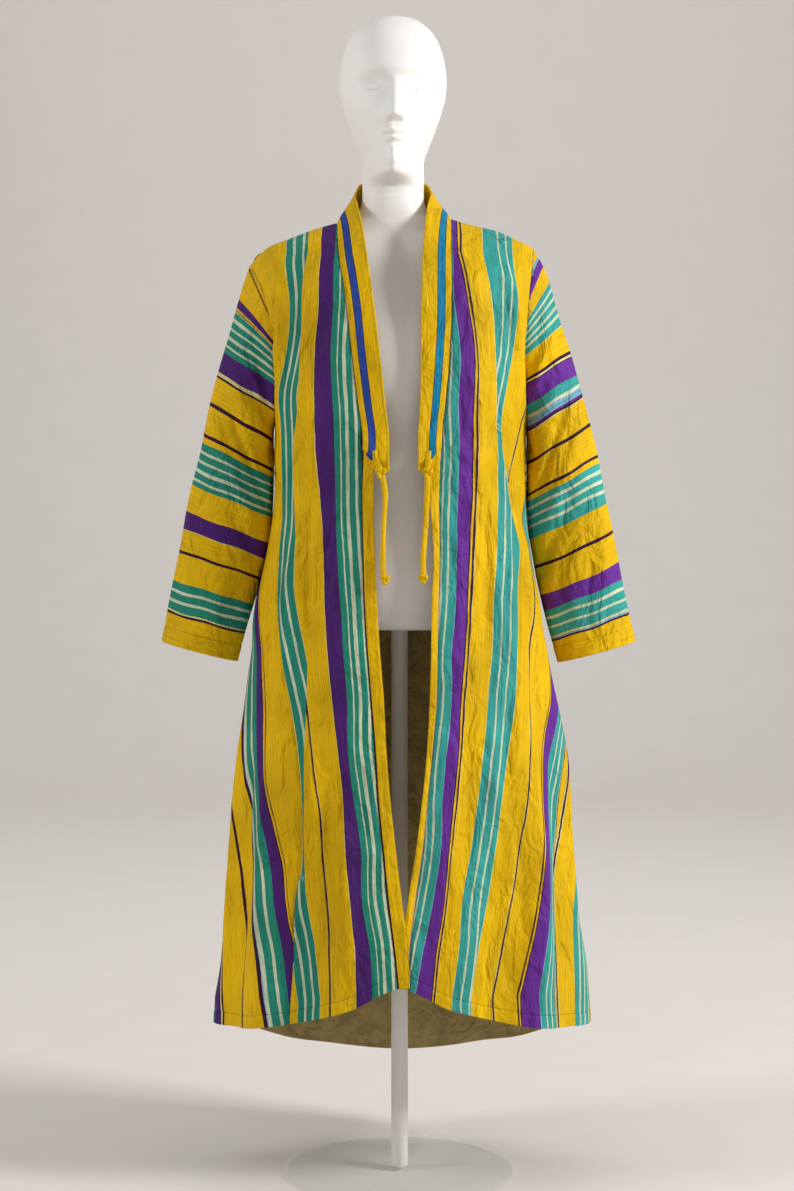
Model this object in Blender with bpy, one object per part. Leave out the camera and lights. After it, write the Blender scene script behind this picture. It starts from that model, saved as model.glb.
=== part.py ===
"""A striped, open-fronted long coat (chapan) on a limbless dress form with a pole and a round foot.

Units are metres and +Z is up. The wearer faces -Y, so the wearer's right side lies at -X.
The origin is the middle of the underside of the foot.

The outside of the coat's body is one master surface, given by a turn angle round the body
(+90 front, 0 side, -90 back) and a height. Every panel is a stretch of that surface with a wall
of even thickness behind it, so neighbouring panels meet at an even seam.
"""

import bmesh
import bpy
import numpy as np

CLOTH = 0.0020          # thickness of the striped cloth
LINING = 0.0010         # thickness of the lining
BAND = 0.0030           # thickness of the neckband, cloth folded over
SEAM = 0.0003           # gap between two sewn pieces
ROLL_ROWS = 5           # rows over the shoulder's roll, and again down to the underarm
SKIRT_ROWS = 13         # rows from the gore's point to the hem
NECK_COLUMNS = 6        # columns of the back from each end of the neckline to the centre
ROUNDNESS = 2.3         # exponent of the body's section, 2 being an ellipse
SHOULDER_ROLL = 0.130   # height over which the cloth rolls from the ridge down to the chest
UNDERARM = 1.165        # height of the underarm
GORE_START = 0.05       # the gores and edge strips start this share of the way down to the hem
BAND_SLANT = 0.0240     # the neckband's lower end drops by this much to its free edge
LINING_START = 2        # the lining starts this many rows of the back below the gore's point
LINING_RISE = 0.008     # how far the lining's edge lies above the back hem
NECK_X = -0.010         # the form's neck and head stand a little to the wearer's right

POLE_RADIUS = 0.013
POLE_SOCKET = 0.060     # depth of the pole's socket in the form
POLE_CLEARANCE = 0.0003
FOOT_RADIUS = 0.180
FOOT_THICKNESS = 0.008
FORM_BOTTOM = 0.850
FORM_CLEARANCE = 0.0037  # from the ridge's outside to the form, the cloth lying between

TIE_RADIUS = 0.0043
TIE_KNOT_RADIUS = 0.0068
TIE_STEP = 0.011

# Half widths to the wearer's right and left, and depths to the front and back, by height.
BODY_NAMES = ("height", "half_right", "half_left", "front", "back")
BODY = (
    (1.500, 0.250, 0.225, 0.100, 0.100),
    (1.400, 0.245, 0.222, 0.118, 0.110),
    (1.340, 0.226, 0.216, 0.126, 0.116),
    (1.300, 0.214, 0.212, 0.130, 0.118),
    (1.250, 0.206, 0.207, 0.133, 0.118),
    (1.200, 0.200, 0.2005, 0.134, 0.117),
    (1.165, 0.193, 0.193, 0.134, 0.116),
    (1.045, 0.188, 0.191, 0.134, 0.117),
    (0.970, 0.197, 0.198, 0.138, 0.122),
    (0.890, 0.214, 0.215, 0.144, 0.130),
    (0.815, 0.226, 0.227, 0.150, 0.138),
    (0.700, 0.241, 0.244, 0.158, 0.150),
    (0.580, 0.255, 0.258, 0.167, 0.163),
    (0.460, 0.267, 0.272, 0.176, 0.175),
    (0.340, 0.279, 0.284, 0.185, 0.186),
    (0.240, 0.284, 0.292, 0.193, 0.195),
    (0.130, 0.286, 0.294, 0.198, 0.202),
)

# The ridge along the shoulders: its height by the distance from the centre plane.
RIDGE_NAMES = ("across", "height")
RIDGE = (
    (0.000, 1.503),
    (0.050, 1.487),
    (0.090, 1.4708),
    (0.130, 1.459),
    (0.170, 1.444),
    (0.205, 1.429),
    (0.232, 1.400),
    (0.250, 1.370),
)

# The hem's height by turn.
HEM_NAMES = ("turn", "height")
HEM = (
    (95, 0.327),
    (90, 0.327),
    (85, 0.315),
    (80, 0.300),
    (70, 0.283),
    (60, 0.270),
    (45, 0.259),
    (30, 0.250),
    (15, 0.244),
    (0, 0.240),
    (-15, 0.228),
    (-30, 0.207),
    (-45, 0.182),
    (-60, 0.163),
    (-75, 0.148),
    (-90, 0.143),
    (-95, 0.143),
)

# The front lines across the body, positive to the wearer's left: where each front meets its
# neckband or edge strip, and the free edge of each strip.
FRONT_NAMES = ("height", "seam_right", "seam_left", "edge_right", "edge_left")
FRONT = (
    (1.480, -0.0985, 0.0800, -0.0380, 0.0400),
    (1.409, -0.0920, 0.0790, -0.0380, 0.0400),
    (1.360, -0.0840, 0.0786, -0.0380, 0.0400),
    (1.314, -0.0780, 0.0782, -0.0380, 0.0400),
    (1.264, -0.0728, 0.0754, -0.0380, 0.0400),
    (1.193, -0.0640, 0.0699, -0.0380, 0.0400),
    (1.143, -0.0565, 0.0640, -0.0380, 0.0400),
    (1.045, -0.0574, 0.0590, -0.0381, 0.0405),
    (0.971, -0.0559, 0.0597, -0.0366, 0.0430),
    (0.897, -0.0544, 0.0581, -0.0336, 0.0420),
    (0.824, -0.0499, 0.0566, -0.0292, 0.0405),
    (0.750, -0.0439, 0.0551, -0.0233, 0.0380),
    (0.677, -0.0380, 0.0491, -0.0196, 0.0335),
    (0.603, -0.0336, 0.0417, -0.0136, 0.0275),
    (0.530, -0.0262, 0.0345, -0.0055, 0.0195),
    (0.457, -0.0188, 0.0239, 0.0033, 0.0092),
    (0.384, -0.0099, 0.0151, 0.0121, 0.0004),
    (0.328, -0.0041, 0.0121, 0.0151, -0.0026),
    (0.300, -0.0030, 0.0110, 0.0160, -0.0040),
)

# The armholes' distance from the centre plane by height.
ARMHOLE_NAMES = ("height", "right", "left")
ARMHOLE = (
    (1.440, 0.2345, 0.2055),
    (1.400, 0.2310, 0.2030),
    (1.373, 0.2180, 0.2000),
    (1.340, 0.2080, 0.1975),
    (1.300, 0.1985, 0.1960),
    (1.250, 0.1950, 0.1950),
    (1.200, 0.1940, 0.1942),
    (1.165, 0.1930, 0.1930),
)

# The turn of the seams on either side of each gore by height.
GORE_NAMES = ("height", "front_right", "front_left", "back")
GORE = (
    (1.165, 0.0, 0.0, 0.0),
    (1.119, 1.0, 1.0, -1.0),
    (1.045, 20.0, 4.5, -5.0),
    (0.970, 24.0, 5.0, -7.0),
    (0.895, 32.0, 5.0, -9.0),
    (0.820, 41.0, 5.0, -11.0),
    (0.747, 48.0, 5.5, -13.0),
    (0.662, 54.5, 9.0, -15.5),
    (0.588, 57.8, 15.0, -17.5),
    (0.515, 58.6, 24.0, -19.5),
    (0.443, 56.8, 31.0, -21.5),
    (0.370, 57.4, 35.0, -23.5),
    (0.296, 57.0, 37.5, -25.5),
    (0.130, 57.0, 38.5, -28.0),
)

# The largest folds: the turn at the top and at the hem, the height where the fold begins, how far
# it stands out at the hem (negative for a groove), and half its width as a turn.
FOLD_NAMES = ("top_turn", "hem_turn", "start", "rise", "half_width")
FOLDS_RIGHT = (
    (66, 60, 1.120, -0.0120, 7),
    (72, 72, 1.000, 0.0060, 9),
    (42, 44, 0.950, 0.0100, 9),
    (24, 26, 0.900, -0.0090, 8),
    (10, 9, 0.900, 0.0040, 8),
    (-14, -16, 0.950, -0.0100, 9),
    (-34, -36, 1.050, 0.0120, 9),
    (-52, -53, 1.100, -0.0120, 9),
    (-69, -71, 1.150, 0.0100, 8),
    (-90, -90, 1.200, -0.0090, 9),
)
FOLDS_LEFT = (
    (70, 76, 1.050, 0.0050, 8),
    (60, 62, 1.120, -0.0100, 8),
    (44, 47, 0.950, 0.0100, 9),
    (22, 28, 0.900, -0.0090, 8),
    (9, 10, 0.900, 0.0045, 8),
    (-12, -14, 0.950, -0.0110, 9),
    (-30, -32, 1.050, 0.0110, 9),
    (-48, -49, 1.100, -0.0110, 9),
    (-65, -67, 1.150, 0.0110, 8),
    (-90, -90, 1.200, -0.0090, 9),
)

# Each sleeve by its outer line and its inner line (distance from the centre plane and height),
# and half its depth. The first row is replaced by the armhole.
SLEEVE_NAMES = ("outer_x", "outer_z", "inner_x", "inner_z", "half_depth")
SLEEVE_RIGHT = (
    (0.2330, 1.3990, 0.1930, 1.1650, 0.055),
    (0.2470, 1.3500, 0.1960, 1.1380, 0.055),
    (0.2600, 1.3050, 0.1965, 1.1080, 0.053),
    (0.2755, 1.2550, 0.1970, 1.0740, 0.050),
    (0.2925, 1.1900, 0.1975, 1.0340, 0.047),
    (0.3075, 1.1180, 0.2010, 0.9930, 0.044),
    (0.3255, 1.0450, 0.2090, 0.9500, 0.041),
    (0.3405, 0.9650, 0.2210, 0.9090, 0.039),
    (0.3555, 0.8910, 0.2370, 0.8570, 0.037),
    (0.3672, 0.8275, 0.2514, 0.7966, 0.036),
)
SLEEVE_LEFT = (
    (0.2060, 1.4285, 0.1930, 1.1650, 0.055),
    (0.2270, 1.3850, 0.1960, 1.1400, 0.056),
    (0.2460, 1.3200, 0.1965, 1.1120, 0.053),
    (0.2640, 1.2640, 0.1975, 1.0780, 0.050),
    (0.2850, 1.1920, 0.1985, 1.0360, 0.047),
    (0.3035, 1.1180, 0.2030, 0.9930, 0.044),
    (0.3190, 1.0420, 0.2110, 0.9480, 0.041),
    (0.3350, 0.9660, 0.2210, 0.9040, 0.039),
    (0.3500, 0.8910, 0.2345, 0.8500, 0.037),
    (0.3637, 0.8275, 0.2471, 0.7950, 0.036),
)

# The free edge of the neckband from its lower end up to the shoulder ridge. "along" is the height
# of the seam edge opposite each point.
BAND_NAMES = ("along", "edge_x", "edge_y", "edge_z")
BAND_RIGHT = (
    (1.120, -0.0150, -0.1345, 1.098),
    (1.143, -0.0150, -0.1350, 1.128),
    (1.193, -0.0210, -0.1355, 1.184),
    (1.264, -0.0290, -0.1340, 1.258),
    (1.314, -0.0350, -0.1310, 1.312),
    (1.360, -0.0420, -0.1235, 1.364),
    (1.409, -0.0500, -0.1020, 1.420),
    (1.440, -0.0570, -0.0720, 1.462),
    (1.460, -0.0640, -0.0400, 1.492),
    (1.4685, -0.0690, -0.0050, 1.512),
)
BAND_LEFT = (
    (1.120, 0.0290, -0.1345, 1.098),
    (1.143, 0.0285, -0.1350, 1.128),
    (1.193, 0.0320, -0.1355, 1.184),
    (1.264, 0.0330, -0.1340, 1.258),
    (1.314, 0.0335, -0.1310, 1.312),
    (1.360, 0.0345, -0.1235, 1.364),
    (1.409, 0.0360, -0.1020, 1.420),
    (1.440, 0.0390, -0.0720, 1.462),
    (1.460, 0.0430, -0.0400, 1.492),
    (1.4748, 0.0490, -0.0050, 1.514),
)
NECKLINE_HEIGHT = 1.4765   # the back neckline
STAND_DEPTH = 0.0600       # the band's upper edge behind the neck
STAND_TOP = 1.5330
STAND_DIP = 0.0110

# The form: half width and depths by height, from the hip to the top of the head; "point" is the
# exponent of the front of the section, lower where the chin narrows; "shift" is the share of
# NECK_X by which the section is moved.
FORM_NAMES = ("height", "half_width", "front", "back", "point", "shift")
TORSO = (
    (0.850, 0.156, 0.099, 0.098, 2.2, 0.0),
    (0.856, 0.163, 0.106, 0.105, 2.2, 0.0),
    (0.875, 0.167, 0.110, 0.108, 2.2, 0.0),
    (0.930, 0.167, 0.110, 0.108, 2.2, 0.0),
    (1.000, 0.150, 0.101, 0.100, 2.2, 0.0),
    (1.070, 0.131, 0.094, 0.090, 2.2, 0.0),
    (1.140, 0.136, 0.101, 0.092, 2.2, 0.0),
    (1.220, 0.148, 0.115, 0.099, 2.3, 0.0),
    (1.290, 0.158, 0.112, 0.103, 2.3, 0.1),
    (1.350, 0.173, 0.094, 0.099, 2.3, 0.1),
    (1.395, 0.184, 0.074, 0.087, 2.3, 0.1),
    (1.418, 0.184, 0.063, 0.073, 2.2, 0.1),
    (1.432, 0.178, 0.055, 0.061, 2.1, 0.1),
)
CARRIED_SHOULDER = (0.168, 0.150, 0.130, 0.110)  # half widths at which the form carries the cloth
SHOULDER_FRONT = 0.042
SHOULDER_BACK = 0.042
NECK = (
    (1.4635, 0.0870, 0.042, 0.042, 2.0, 0.6),
    (1.4690, 0.0720, 0.043, 0.043, 2.0, 0.9),
    (1.4760, 0.0600, 0.044, 0.044, 2.0, 1.0),
    (1.4860, 0.0515, 0.045, 0.046, 2.0, 1.0),
    (1.4980, 0.0480, 0.046, 0.049, 2.0, 1.0),
    (1.5120, 0.0470, 0.046, 0.051, 2.0, 1.0),
    (1.5230, 0.0470, 0.052, 0.053, 1.9, 1.0),
    (1.5290, 0.0470, 0.068, 0.055, 1.6, 1.0),
    (1.5340, 0.0475, 0.086, 0.057, 1.4, 1.0),
    (1.5450, 0.0470, 0.095, 0.060, 1.4, 1.0),
    (1.5650, 0.0480, 0.098, 0.067, 1.45, 1.0),
    (1.5850, 0.0555, 0.098, 0.075, 1.55, 1.0),
    (1.6050, 0.0632, 0.098, 0.084, 1.65, 1.0),
    (1.6300, 0.0722, 0.096, 0.093, 1.75, 1.0),
    (1.6550, 0.0793, 0.094, 0.099, 1.85, 1.0),
    (1.6800, 0.0818, 0.094, 0.102, 1.95, 1.0),
    (1.7050, 0.0795, 0.093, 0.102, 2.0, 1.0),
    (1.7300, 0.0735, 0.087, 0.097, 2.0, 1.0),
    (1.7500, 0.0640, 0.076, 0.086, 2.0, 1.0),
    (1.7650, 0.0500, 0.060, 0.069, 2.0, 1.0),
    (1.7745, 0.0340, 0.041, 0.048, 2.0, 1.0),
    (1.7790, 0.0160, 0.020, 0.024, 2.0, 1.0),
)
CHIN = 1.58              # between these heights the form's sections lie twice as close
BROW = 1.67
FACE_STEP = 0.0125
NOSE_BRIDGE = 1.655
NOSE_TIP = 1.610
NOSE_BASE = 1.600
NOSE_RISE = 0.017
NOSE_HALF_WIDTH = 0.016

# Each tie hangs from the band's lower end: across, forward and height of its line.
TIE_NAMES = ("x", "y", "z")
TIE_RIGHT = (
    (-0.0375, -0.1369, 1.1180),
    (-0.0350, -0.1375, 1.1060),
    (-0.0305, -0.1385, 1.0930),
    (-0.0250, -0.1392, 1.0760),
    (-0.0215, -0.1400, 1.0560),
    (-0.0218, -0.1402, 1.0350),
    (-0.0232, -0.1412, 1.0150),
    (-0.0244, -0.1428, 0.9900),
    (-0.0250, -0.1444, 0.9650),
    (-0.0248, -0.1464, 0.9440),
    (-0.0228, -0.1490, 0.9310),
    (-0.0215, -0.1498, 0.9225),
)
TIE_LEFT = (
    (0.0425, -0.1371, 1.1180),
    (0.0415, -0.1376, 1.1060),
    (0.0412, -0.1386, 1.0880),
    (0.0408, -0.1394, 1.0700),
    (0.0400, -0.1402, 1.0500),
    (0.0390, -0.1406, 1.0280),
    (0.0380, -0.1418, 1.0060),
    (0.0362, -0.1432, 0.9840),
    (0.0347, -0.1446, 0.9640),
    (0.0345, -0.1466, 0.9440),
    (0.0352, -0.1490, 0.9330),
    (0.0348, -0.1498, 0.9240),
)

COLOURS = {
    "yellow": (0.78, 0.50, 0.01),
    "teal": (0.04, 0.42, 0.33),
    "purple": (0.13, 0.03, 0.28),
    "olive": (0.20, 0.17, 0.08),
    "white": (0.83, 0.82, 0.79),
    "metal": (0.80, 0.79, 0.77),
    "glass": (0.75, 0.82, 0.80),
}


def column(rows, names, name):
    """One named column of a table, as an array."""
    return np.array([row[names.index(name)] for row in rows], float)


def read(rows, names, name, at):
    """A smooth curve through a named column, read at values of the table's first column."""
    return smooth(column(rows, names, names[0]), column(rows, names, name), at)


def smooth(keys, values, at):
    """Cubic curve through the values, with its slopes from the neighbours, clamped at both ends."""
    order = np.argsort(keys)
    keys = keys[order]
    values = values[order]
    slopes = np.gradient(values, keys)
    at = np.clip(np.asarray(at, float), keys[0], keys[-1])
    i = np.clip(np.searchsorted(keys, at, side="right") - 1, 0, len(keys) - 2)
    span = keys[i + 1] - keys[i]
    t = (at - keys[i]) / span
    return (
        (1 + 2 * t) * (1 - t) ** 2 * values[i]
        + t * (1 - t) ** 2 * span * slopes[i]
        + t * t * (3 - 2 * t) * values[i + 1]
        + t * t * (t - 1) * span * slopes[i + 1]
    )


def ease(t):
    """Runs smoothly from 0 to 1 while t does."""
    t = np.clip(t, 0, 1)
    return t * t * (3 - 2 * t)


def half_width(side, z):
    """The body's half width on one side: -1 is the wearer's right, +1 the left."""
    return read(BODY, BODY_NAMES, "half_right" if side < 0 else "half_left", z)


def ridge(x):
    """Height of the shoulder ridge at a distance from the centre plane."""
    return read(RIDGE, RIDGE_NAMES, "height", np.abs(x))


def fold_rise(side, turn, z):
    """How far the folds push the cloth out: each is a soft bump in turn that grows down to the hem."""
    total = np.zeros(np.broadcast(turn, z).shape)
    for top_turn, hem_turn, start, rise, half in FOLDS_RIGHT if side < 0 else FOLDS_LEFT:
        down = np.clip((start - z) / (start - 0.2), 0, 1)
        middle = top_turn + (hem_turn - top_turn) * down
        total = total + rise * ease(down) * np.exp(-(((turn - middle) / half) ** 2))
    return total


def lap(side, turn, x, z):
    """The wearer's right front laps over the left one below the knee."""
    if side > 0:
        return np.zeros(np.broadcast(x, z).shape)
    return 0.0055 * ease((0.56 - z) / 0.14) * ease((x + 0.11) / 0.08) * (turn > 0)


def bare(side, turn, z):
    """The master surface without folds: a superellipse section that rolls over the shoulders."""
    turn, z = np.broadcast_arrays(np.asarray(turn, float), np.asarray(z, float))
    angle = np.radians(turn)
    c = np.cos(angle)
    s = np.sin(angle)
    power = 2 / ROUNDNESS
    x = side * half_width(side, z) * np.sign(c) * np.abs(c) ** power
    depth = np.where(s >= 0, read(BODY, BODY_NAMES, "front", z), read(BODY, BODY_NAMES, "back", z))
    fall = np.clip((ridge(x) - z) / SHOULDER_ROLL, 0, 1)
    roll = np.sqrt(np.clip(1 - (1 - fall) ** 2, 0, 1))
    y = -np.sign(s) * depth * np.abs(s) ** power * roll
    return np.stack([x, y, z], axis=-1)


def outward(side, turn, z):
    """Unit normals of the master surface."""
    step_turn = 0.05
    step_z = 0.0004
    round_it = bare(side, turn + step_turn, z) - bare(side, turn - step_turn, z)
    down = bare(side, turn, z - step_z) - bare(side, turn, z + 0.25 * step_z)
    normal = np.cross(round_it, down) * side
    return normal / np.maximum(np.linalg.norm(normal, axis=-1, keepdims=True), 1e-12)


def coat(side, turn, z, lift=0.0):
    """Points and normals of the coat, with its folds, lifted outwards by lift."""
    points = bare(side, turn, z)
    normals = outward(side, turn, z)
    rise = fold_rise(side, turn, z) + lap(side, turn, points[..., 0], z) + lift
    flat = normals.copy()
    flat[..., 2] = 0
    flat = flat / np.maximum(np.linalg.norm(flat, axis=-1, keepdims=True), 1e-12)
    return points + flat * rise[..., None], normals


def turn_at(side, x, z):
    """The turn at which the front of the body passes a distance x from the centre plane."""
    share = np.clip(np.abs(x) / half_width(side, z), 0, 1)
    turn = np.degrees(np.arccos(share ** (ROUNDNESS / 2)))
    return np.where(x * side > 0, turn, 180 - turn)


def turn_gap(side, turn, z, gap):
    """The change of turn that moves a point round the body by gap."""
    step = np.linalg.norm(bare(side, turn + 0.5, z) - bare(side, turn - 0.5, z), axis=-1)
    return gap / np.maximum(step, 1e-4)


def seam_turn(side, z):
    """Turn of the line where a front meets its neckband or edge strip."""
    name = "seam_right" if side < 0 else "seam_left"
    return turn_at(side, read(FRONT, FRONT_NAMES, name, z), z)


def edge_turn(side, z):
    """Turn of the free edge of a front's strip."""
    name = "edge_right" if side < 0 else "edge_left"
    return turn_at(side, read(FRONT, FRONT_NAMES, name, z), z)


def armhole_turn(side, z):
    """Turn of the front of the armhole."""
    name = "right" if side < 0 else "left"
    return turn_at(side, side * read(ARMHOLE, ARMHOLE_NAMES, name, z), z)


def gore_turn(side, z):
    """Turn of the seam between a front and its gore."""
    return read(GORE, GORE_NAMES, "front_right" if side < 0 else "front_left", z)


def front_side_turn(side, z):
    """The outer line of a front: the armhole, and below the underarm the gore's seam."""
    return np.where(z > UNDERARM, armhole_turn(side, z), gore_turn(side, z))


def back_gore_turn(side, z):
    """The turn of the seam between the back and a gore."""
    return read(GORE, GORE_NAMES, "back", z)


def back_side_turn(side, z):
    """The outer line of the back on one side."""
    return np.where(z > UNDERARM, -armhole_turn(side, z), back_gore_turn(side, z))


def ridge_height(side, turn_line):
    """The height at which a line of turns meets the shoulder ridge."""
    z = np.full(np.shape(turn_line(1.43)), 1.43)
    for _ in range(60):
        z = 0.5 * z + 0.5 * ridge(bare(side, turn_line(z), z)[..., 0])
    return z


def hem_height(turn_line):
    """The height at which a line of turns meets the hem."""
    z = np.full(np.shape(turn_line(0.25)), 0.25)
    for _ in range(30):
        z = read(HEM, HEM_NAMES, "height", turn_line(z))
    return z


def skirt_rows(bottom):
    """Heights from the gore's point to the hem, the same on every panel."""
    share = np.linspace(GORE_START, 1, SKIRT_ROWS + 1)[:, None]
    return UNDERARM + (bottom - UNDERARM) * share


def body_rows(top, bottom):
    """Heights from the shoulder ridge to the hem: the roll, down to the underarm, the skirt."""
    quarter = np.linspace(0, np.pi / 2, ROLL_ROWS + 1)[:, None]
    roll = top - SHOULDER_ROLL * (1 - np.cos(quarter))
    chest = UNDERARM + (roll[-1:] - UNDERARM) * (1 - np.sin(quarter[1:]))
    return np.concatenate([roll, chest, skirt_rows(bottom)])


def wall(name, colour, outer, inner, wrap=False):
    """A closed wall between two grids of points; wrap joins the last column to the first."""
    rows, cols = outer.shape[:2]
    count = rows * cols
    index = np.arange(count).reshape(rows, cols)
    if wrap:
        index = np.concatenate([index, index[:, :1]], axis=1)
    a, b = index[:-1, :-1], index[1:, :-1]
    c, d = index[1:, 1:], index[:-1, 1:]
    halves = (np.stack([a, b, c], axis=-1), np.stack([a, c, d], axis=-1))
    front = np.concatenate([half.reshape(-1, 3) for half in halves])
    back = front[:, ::-1] + count
    edges = [index[0], index[-1]]
    if not wrap:
        edges += [index[:, 0], index[:, -1]]
    sides = [np.stack([e[:-1], e[1:], e[1:] + count, e[:-1] + count], axis=-1) for e in edges]
    faces = front.tolist() + back.tolist() + np.concatenate(sides).tolist()
    points = np.concatenate([outer.reshape(-1, 3), inner.reshape(-1, 3)])
    return mesh_object(name, colour, points, faces)


def loft(name, colour, rings):
    """A closed solid through rings of points, capped flat at both ends."""
    rows, cols = rings.shape[:2]
    index = np.arange(rows * cols).reshape(rows, cols)
    index = np.concatenate([index, index[:, :1]], axis=1)
    a, b = index[:-1, :-1], index[1:, :-1]
    c, d = index[1:, 1:], index[:-1, 1:]
    faces = np.stack([a, b, c, d], axis=-1).reshape(-1, 4).tolist()
    faces += [list(range(cols)), list(range((rows - 1) * cols, rows * cols))]
    return mesh_object(name, colour, rings.reshape(-1, 3), faces)


def mesh_object(name, colour, points, faces):
    """A mesh object with its faces pointing out."""
    mesh = bpy.data.meshes.new(name)
    mesh.from_pydata(points.tolist(), [], faces)
    shell = bmesh.new()
    shell.from_mesh(mesh)
    bmesh.ops.recalc_face_normals(shell, faces=shell.faces)
    shell.to_mesh(mesh)
    shell.free()
    mesh.shade_smooth()
    mesh.set_sharp_from_angle(angle=np.radians(40))
    return place(bpy.data.objects.new(name, mesh), colour)


def place(made, colour):
    """Puts an object into the coat's collection with its material."""
    for holder in made.users_collection:
        holder.objects.unlink(made)
    parts.objects.link(made)
    made.data.materials.append(material(made.name, colour))
    return made


def material(name, colour):
    """A Principled material for one piece."""
    made = bpy.data.materials.new(name)
    made.use_nodes = True
    shader = made.node_tree.nodes["Principled BSDF"]
    shader.inputs["Base Color"].default_value = (*COLOURS[colour], 1)
    shader.inputs["Roughness"].default_value = {"glass": 0.05, "metal": 0.4}.get(colour, 0.7)
    shader.inputs["Metallic"].default_value = 1.0 if colour == "metal" else 0.0
    return made


def level(normals):
    """Turns the first row of normals straight out of the ridge, so that front and back meet."""
    normals[0, :, 1] = 0
    normals[0] /= np.linalg.norm(normals[0], axis=-1, keepdims=True)


def front_line(side, share):
    """The columns of a front as turns, from its band or strip seam to its outer line."""

    def line(z):
        inner = seam_turn(side, z)
        inner = inner - turn_gap(side, inner, z, SEAM / 2)
        outer = front_side_turn(side, z)
        outer = outer + turn_gap(side, outer, z, SEAM / 2)
        return inner + (outer - inner) * share

    return line


def front_rows(side, share):
    """The heights of a front's rows."""
    line = front_line(side, share)
    return body_rows(ridge_height(side, line), hem_height(line))


def front_panel(side, cols=11):
    """A front: from its band or strip seam to the armhole and the gore's seam."""
    share = np.linspace(0, 1, cols)
    z = front_rows(side, share)
    points, normals = coat(side, front_line(side, share)(z), z)
    points[0, :, 1] -= SEAM / 2
    level(normals)
    name = "front_right" if side < 0 else "front_left"
    return wall(name, "yellow", points, points - normals * CLOTH)


def gore(side, cols=13):
    """A side gore: a wedge from the underarm to the hem."""
    share = np.linspace(0, 1, cols)

    def line(z):
        first = gore_turn(side, z)
        first = first - turn_gap(side, first, z, SEAM / 2)
        last = back_gore_turn(side, z)
        last = last + turn_gap(side, last, z, SEAM / 2)
        return first + (last - first) * share

    z = skirt_rows(hem_height(line))
    points, normals = coat(side, line(z), z)
    name = "gore_right" if side < 0 else "gore_left"
    return wall(name, "teal", points, points - normals * CLOTH)


def neckline_end(side):
    """Where the neckline meets the shoulder ridge."""
    z = ridge_height(side, lambda height: seam_turn(side, height))
    return float(read(FRONT, FRONT_NAMES, "seam_right" if side < 0 else "seam_left", z))


def neckline_x(side):
    """Where the back's columns meet the neckline, from its end to the centre back."""
    return neckline_end(side) * np.cos(np.linspace(0, np.pi / 2, NECK_COLUMNS + 1))


def neckline_height(side, x):
    """The height of the back neckline."""
    end = neckline_end(side)
    rise = (NECKLINE_HEIGHT - ridge(end)) * ease(1 - np.abs(x / end))
    return np.minimum(ridge(end) + rise, ridge(x))


def back_half(side, shoulder=6):
    """Half of the back: its points and normals from its outer line to the centre back."""
    arm_top = float(ridge_height(side, lambda z: armhole_turn(side, z)))
    arm_x = read(ARMHOLE, ARMHOLE_NAMES, "right" if side < 0 else "left", arm_top)
    neck = neckline_x(side)
    x = np.concatenate([np.linspace(side * arm_x, neck[0], shoulder + 1)[:-1], neck])
    top = np.where(np.abs(x) >= abs(neck[0]), ridge(x), neckline_height(side, x))
    top_turn = -np.where(np.abs(x) < 1e-6, 90, turn_at(side, x, top))
    top_share = (top_turn - top_turn[0]) / (-90 - top_turn[0])
    even_share = np.linspace(0, 1, len(x))

    def line(z):
        outer = back_side_turn(side, z)
        outer = outer - turn_gap(side, outer, z, SEAM / 2)
        blend = ease((1.42 - z) / 0.28)
        share = top_share * (1 - blend) + even_share * blend
        return outer + (-90 - outer) * share

    z = body_rows(top, hem_height(line))
    turn = line(z)
    turn[0] = top_turn
    turn[0, 0] -= float(turn_gap(side, top_turn[0], top[0], SEAM / 2))
    points, normals = coat(side, turn, z)
    on_ridge = points[0, :, 1] < 0.004
    points[0, on_ridge, 1] = SEAM / 2
    flat = normals.copy()
    level(flat)
    normals[0, on_ridge] = flat[0, on_ridge]
    normals[:, -1, 0] = 0
    return points, normals


def back_panel(side):
    """One of the back's two lengths of cloth, which meet in a seam down the centre back."""
    points, normals = back_half(side)
    points[:, -1, 0] += side * SEAM / 2
    if side > 0:
        points, normals = points[:, ::-1], normals[:, ::-1]
    name = "back_right" if side < 0 else "back_left"
    return wall(name, "teal", points, points - normals * CLOTH)


def back_lining():
    """The lining inside the back, in one piece, made from the back's own points."""
    right, left = back_half(-1), back_half(1)
    points = np.concatenate([right[0], left[0][:, -2::-1]], axis=1)
    normals = np.concatenate([right[1], left[1][:, -2::-1]], axis=1)
    start = 2 * ROLL_ROWS + 1 + LINING_START
    points, normals = points[start:, 1:-1], normals[start:, 1:-1]
    last = points[-1] - points[-2]
    points[-1] -= last * LINING_RISE / np.linalg.norm(last, axis=-1, keepdims=True)
    outer = points - normals * (CLOTH + 2 * SEAM)
    return wall("back_lining", "olive", outer, outer - normals * LINING)


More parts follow.
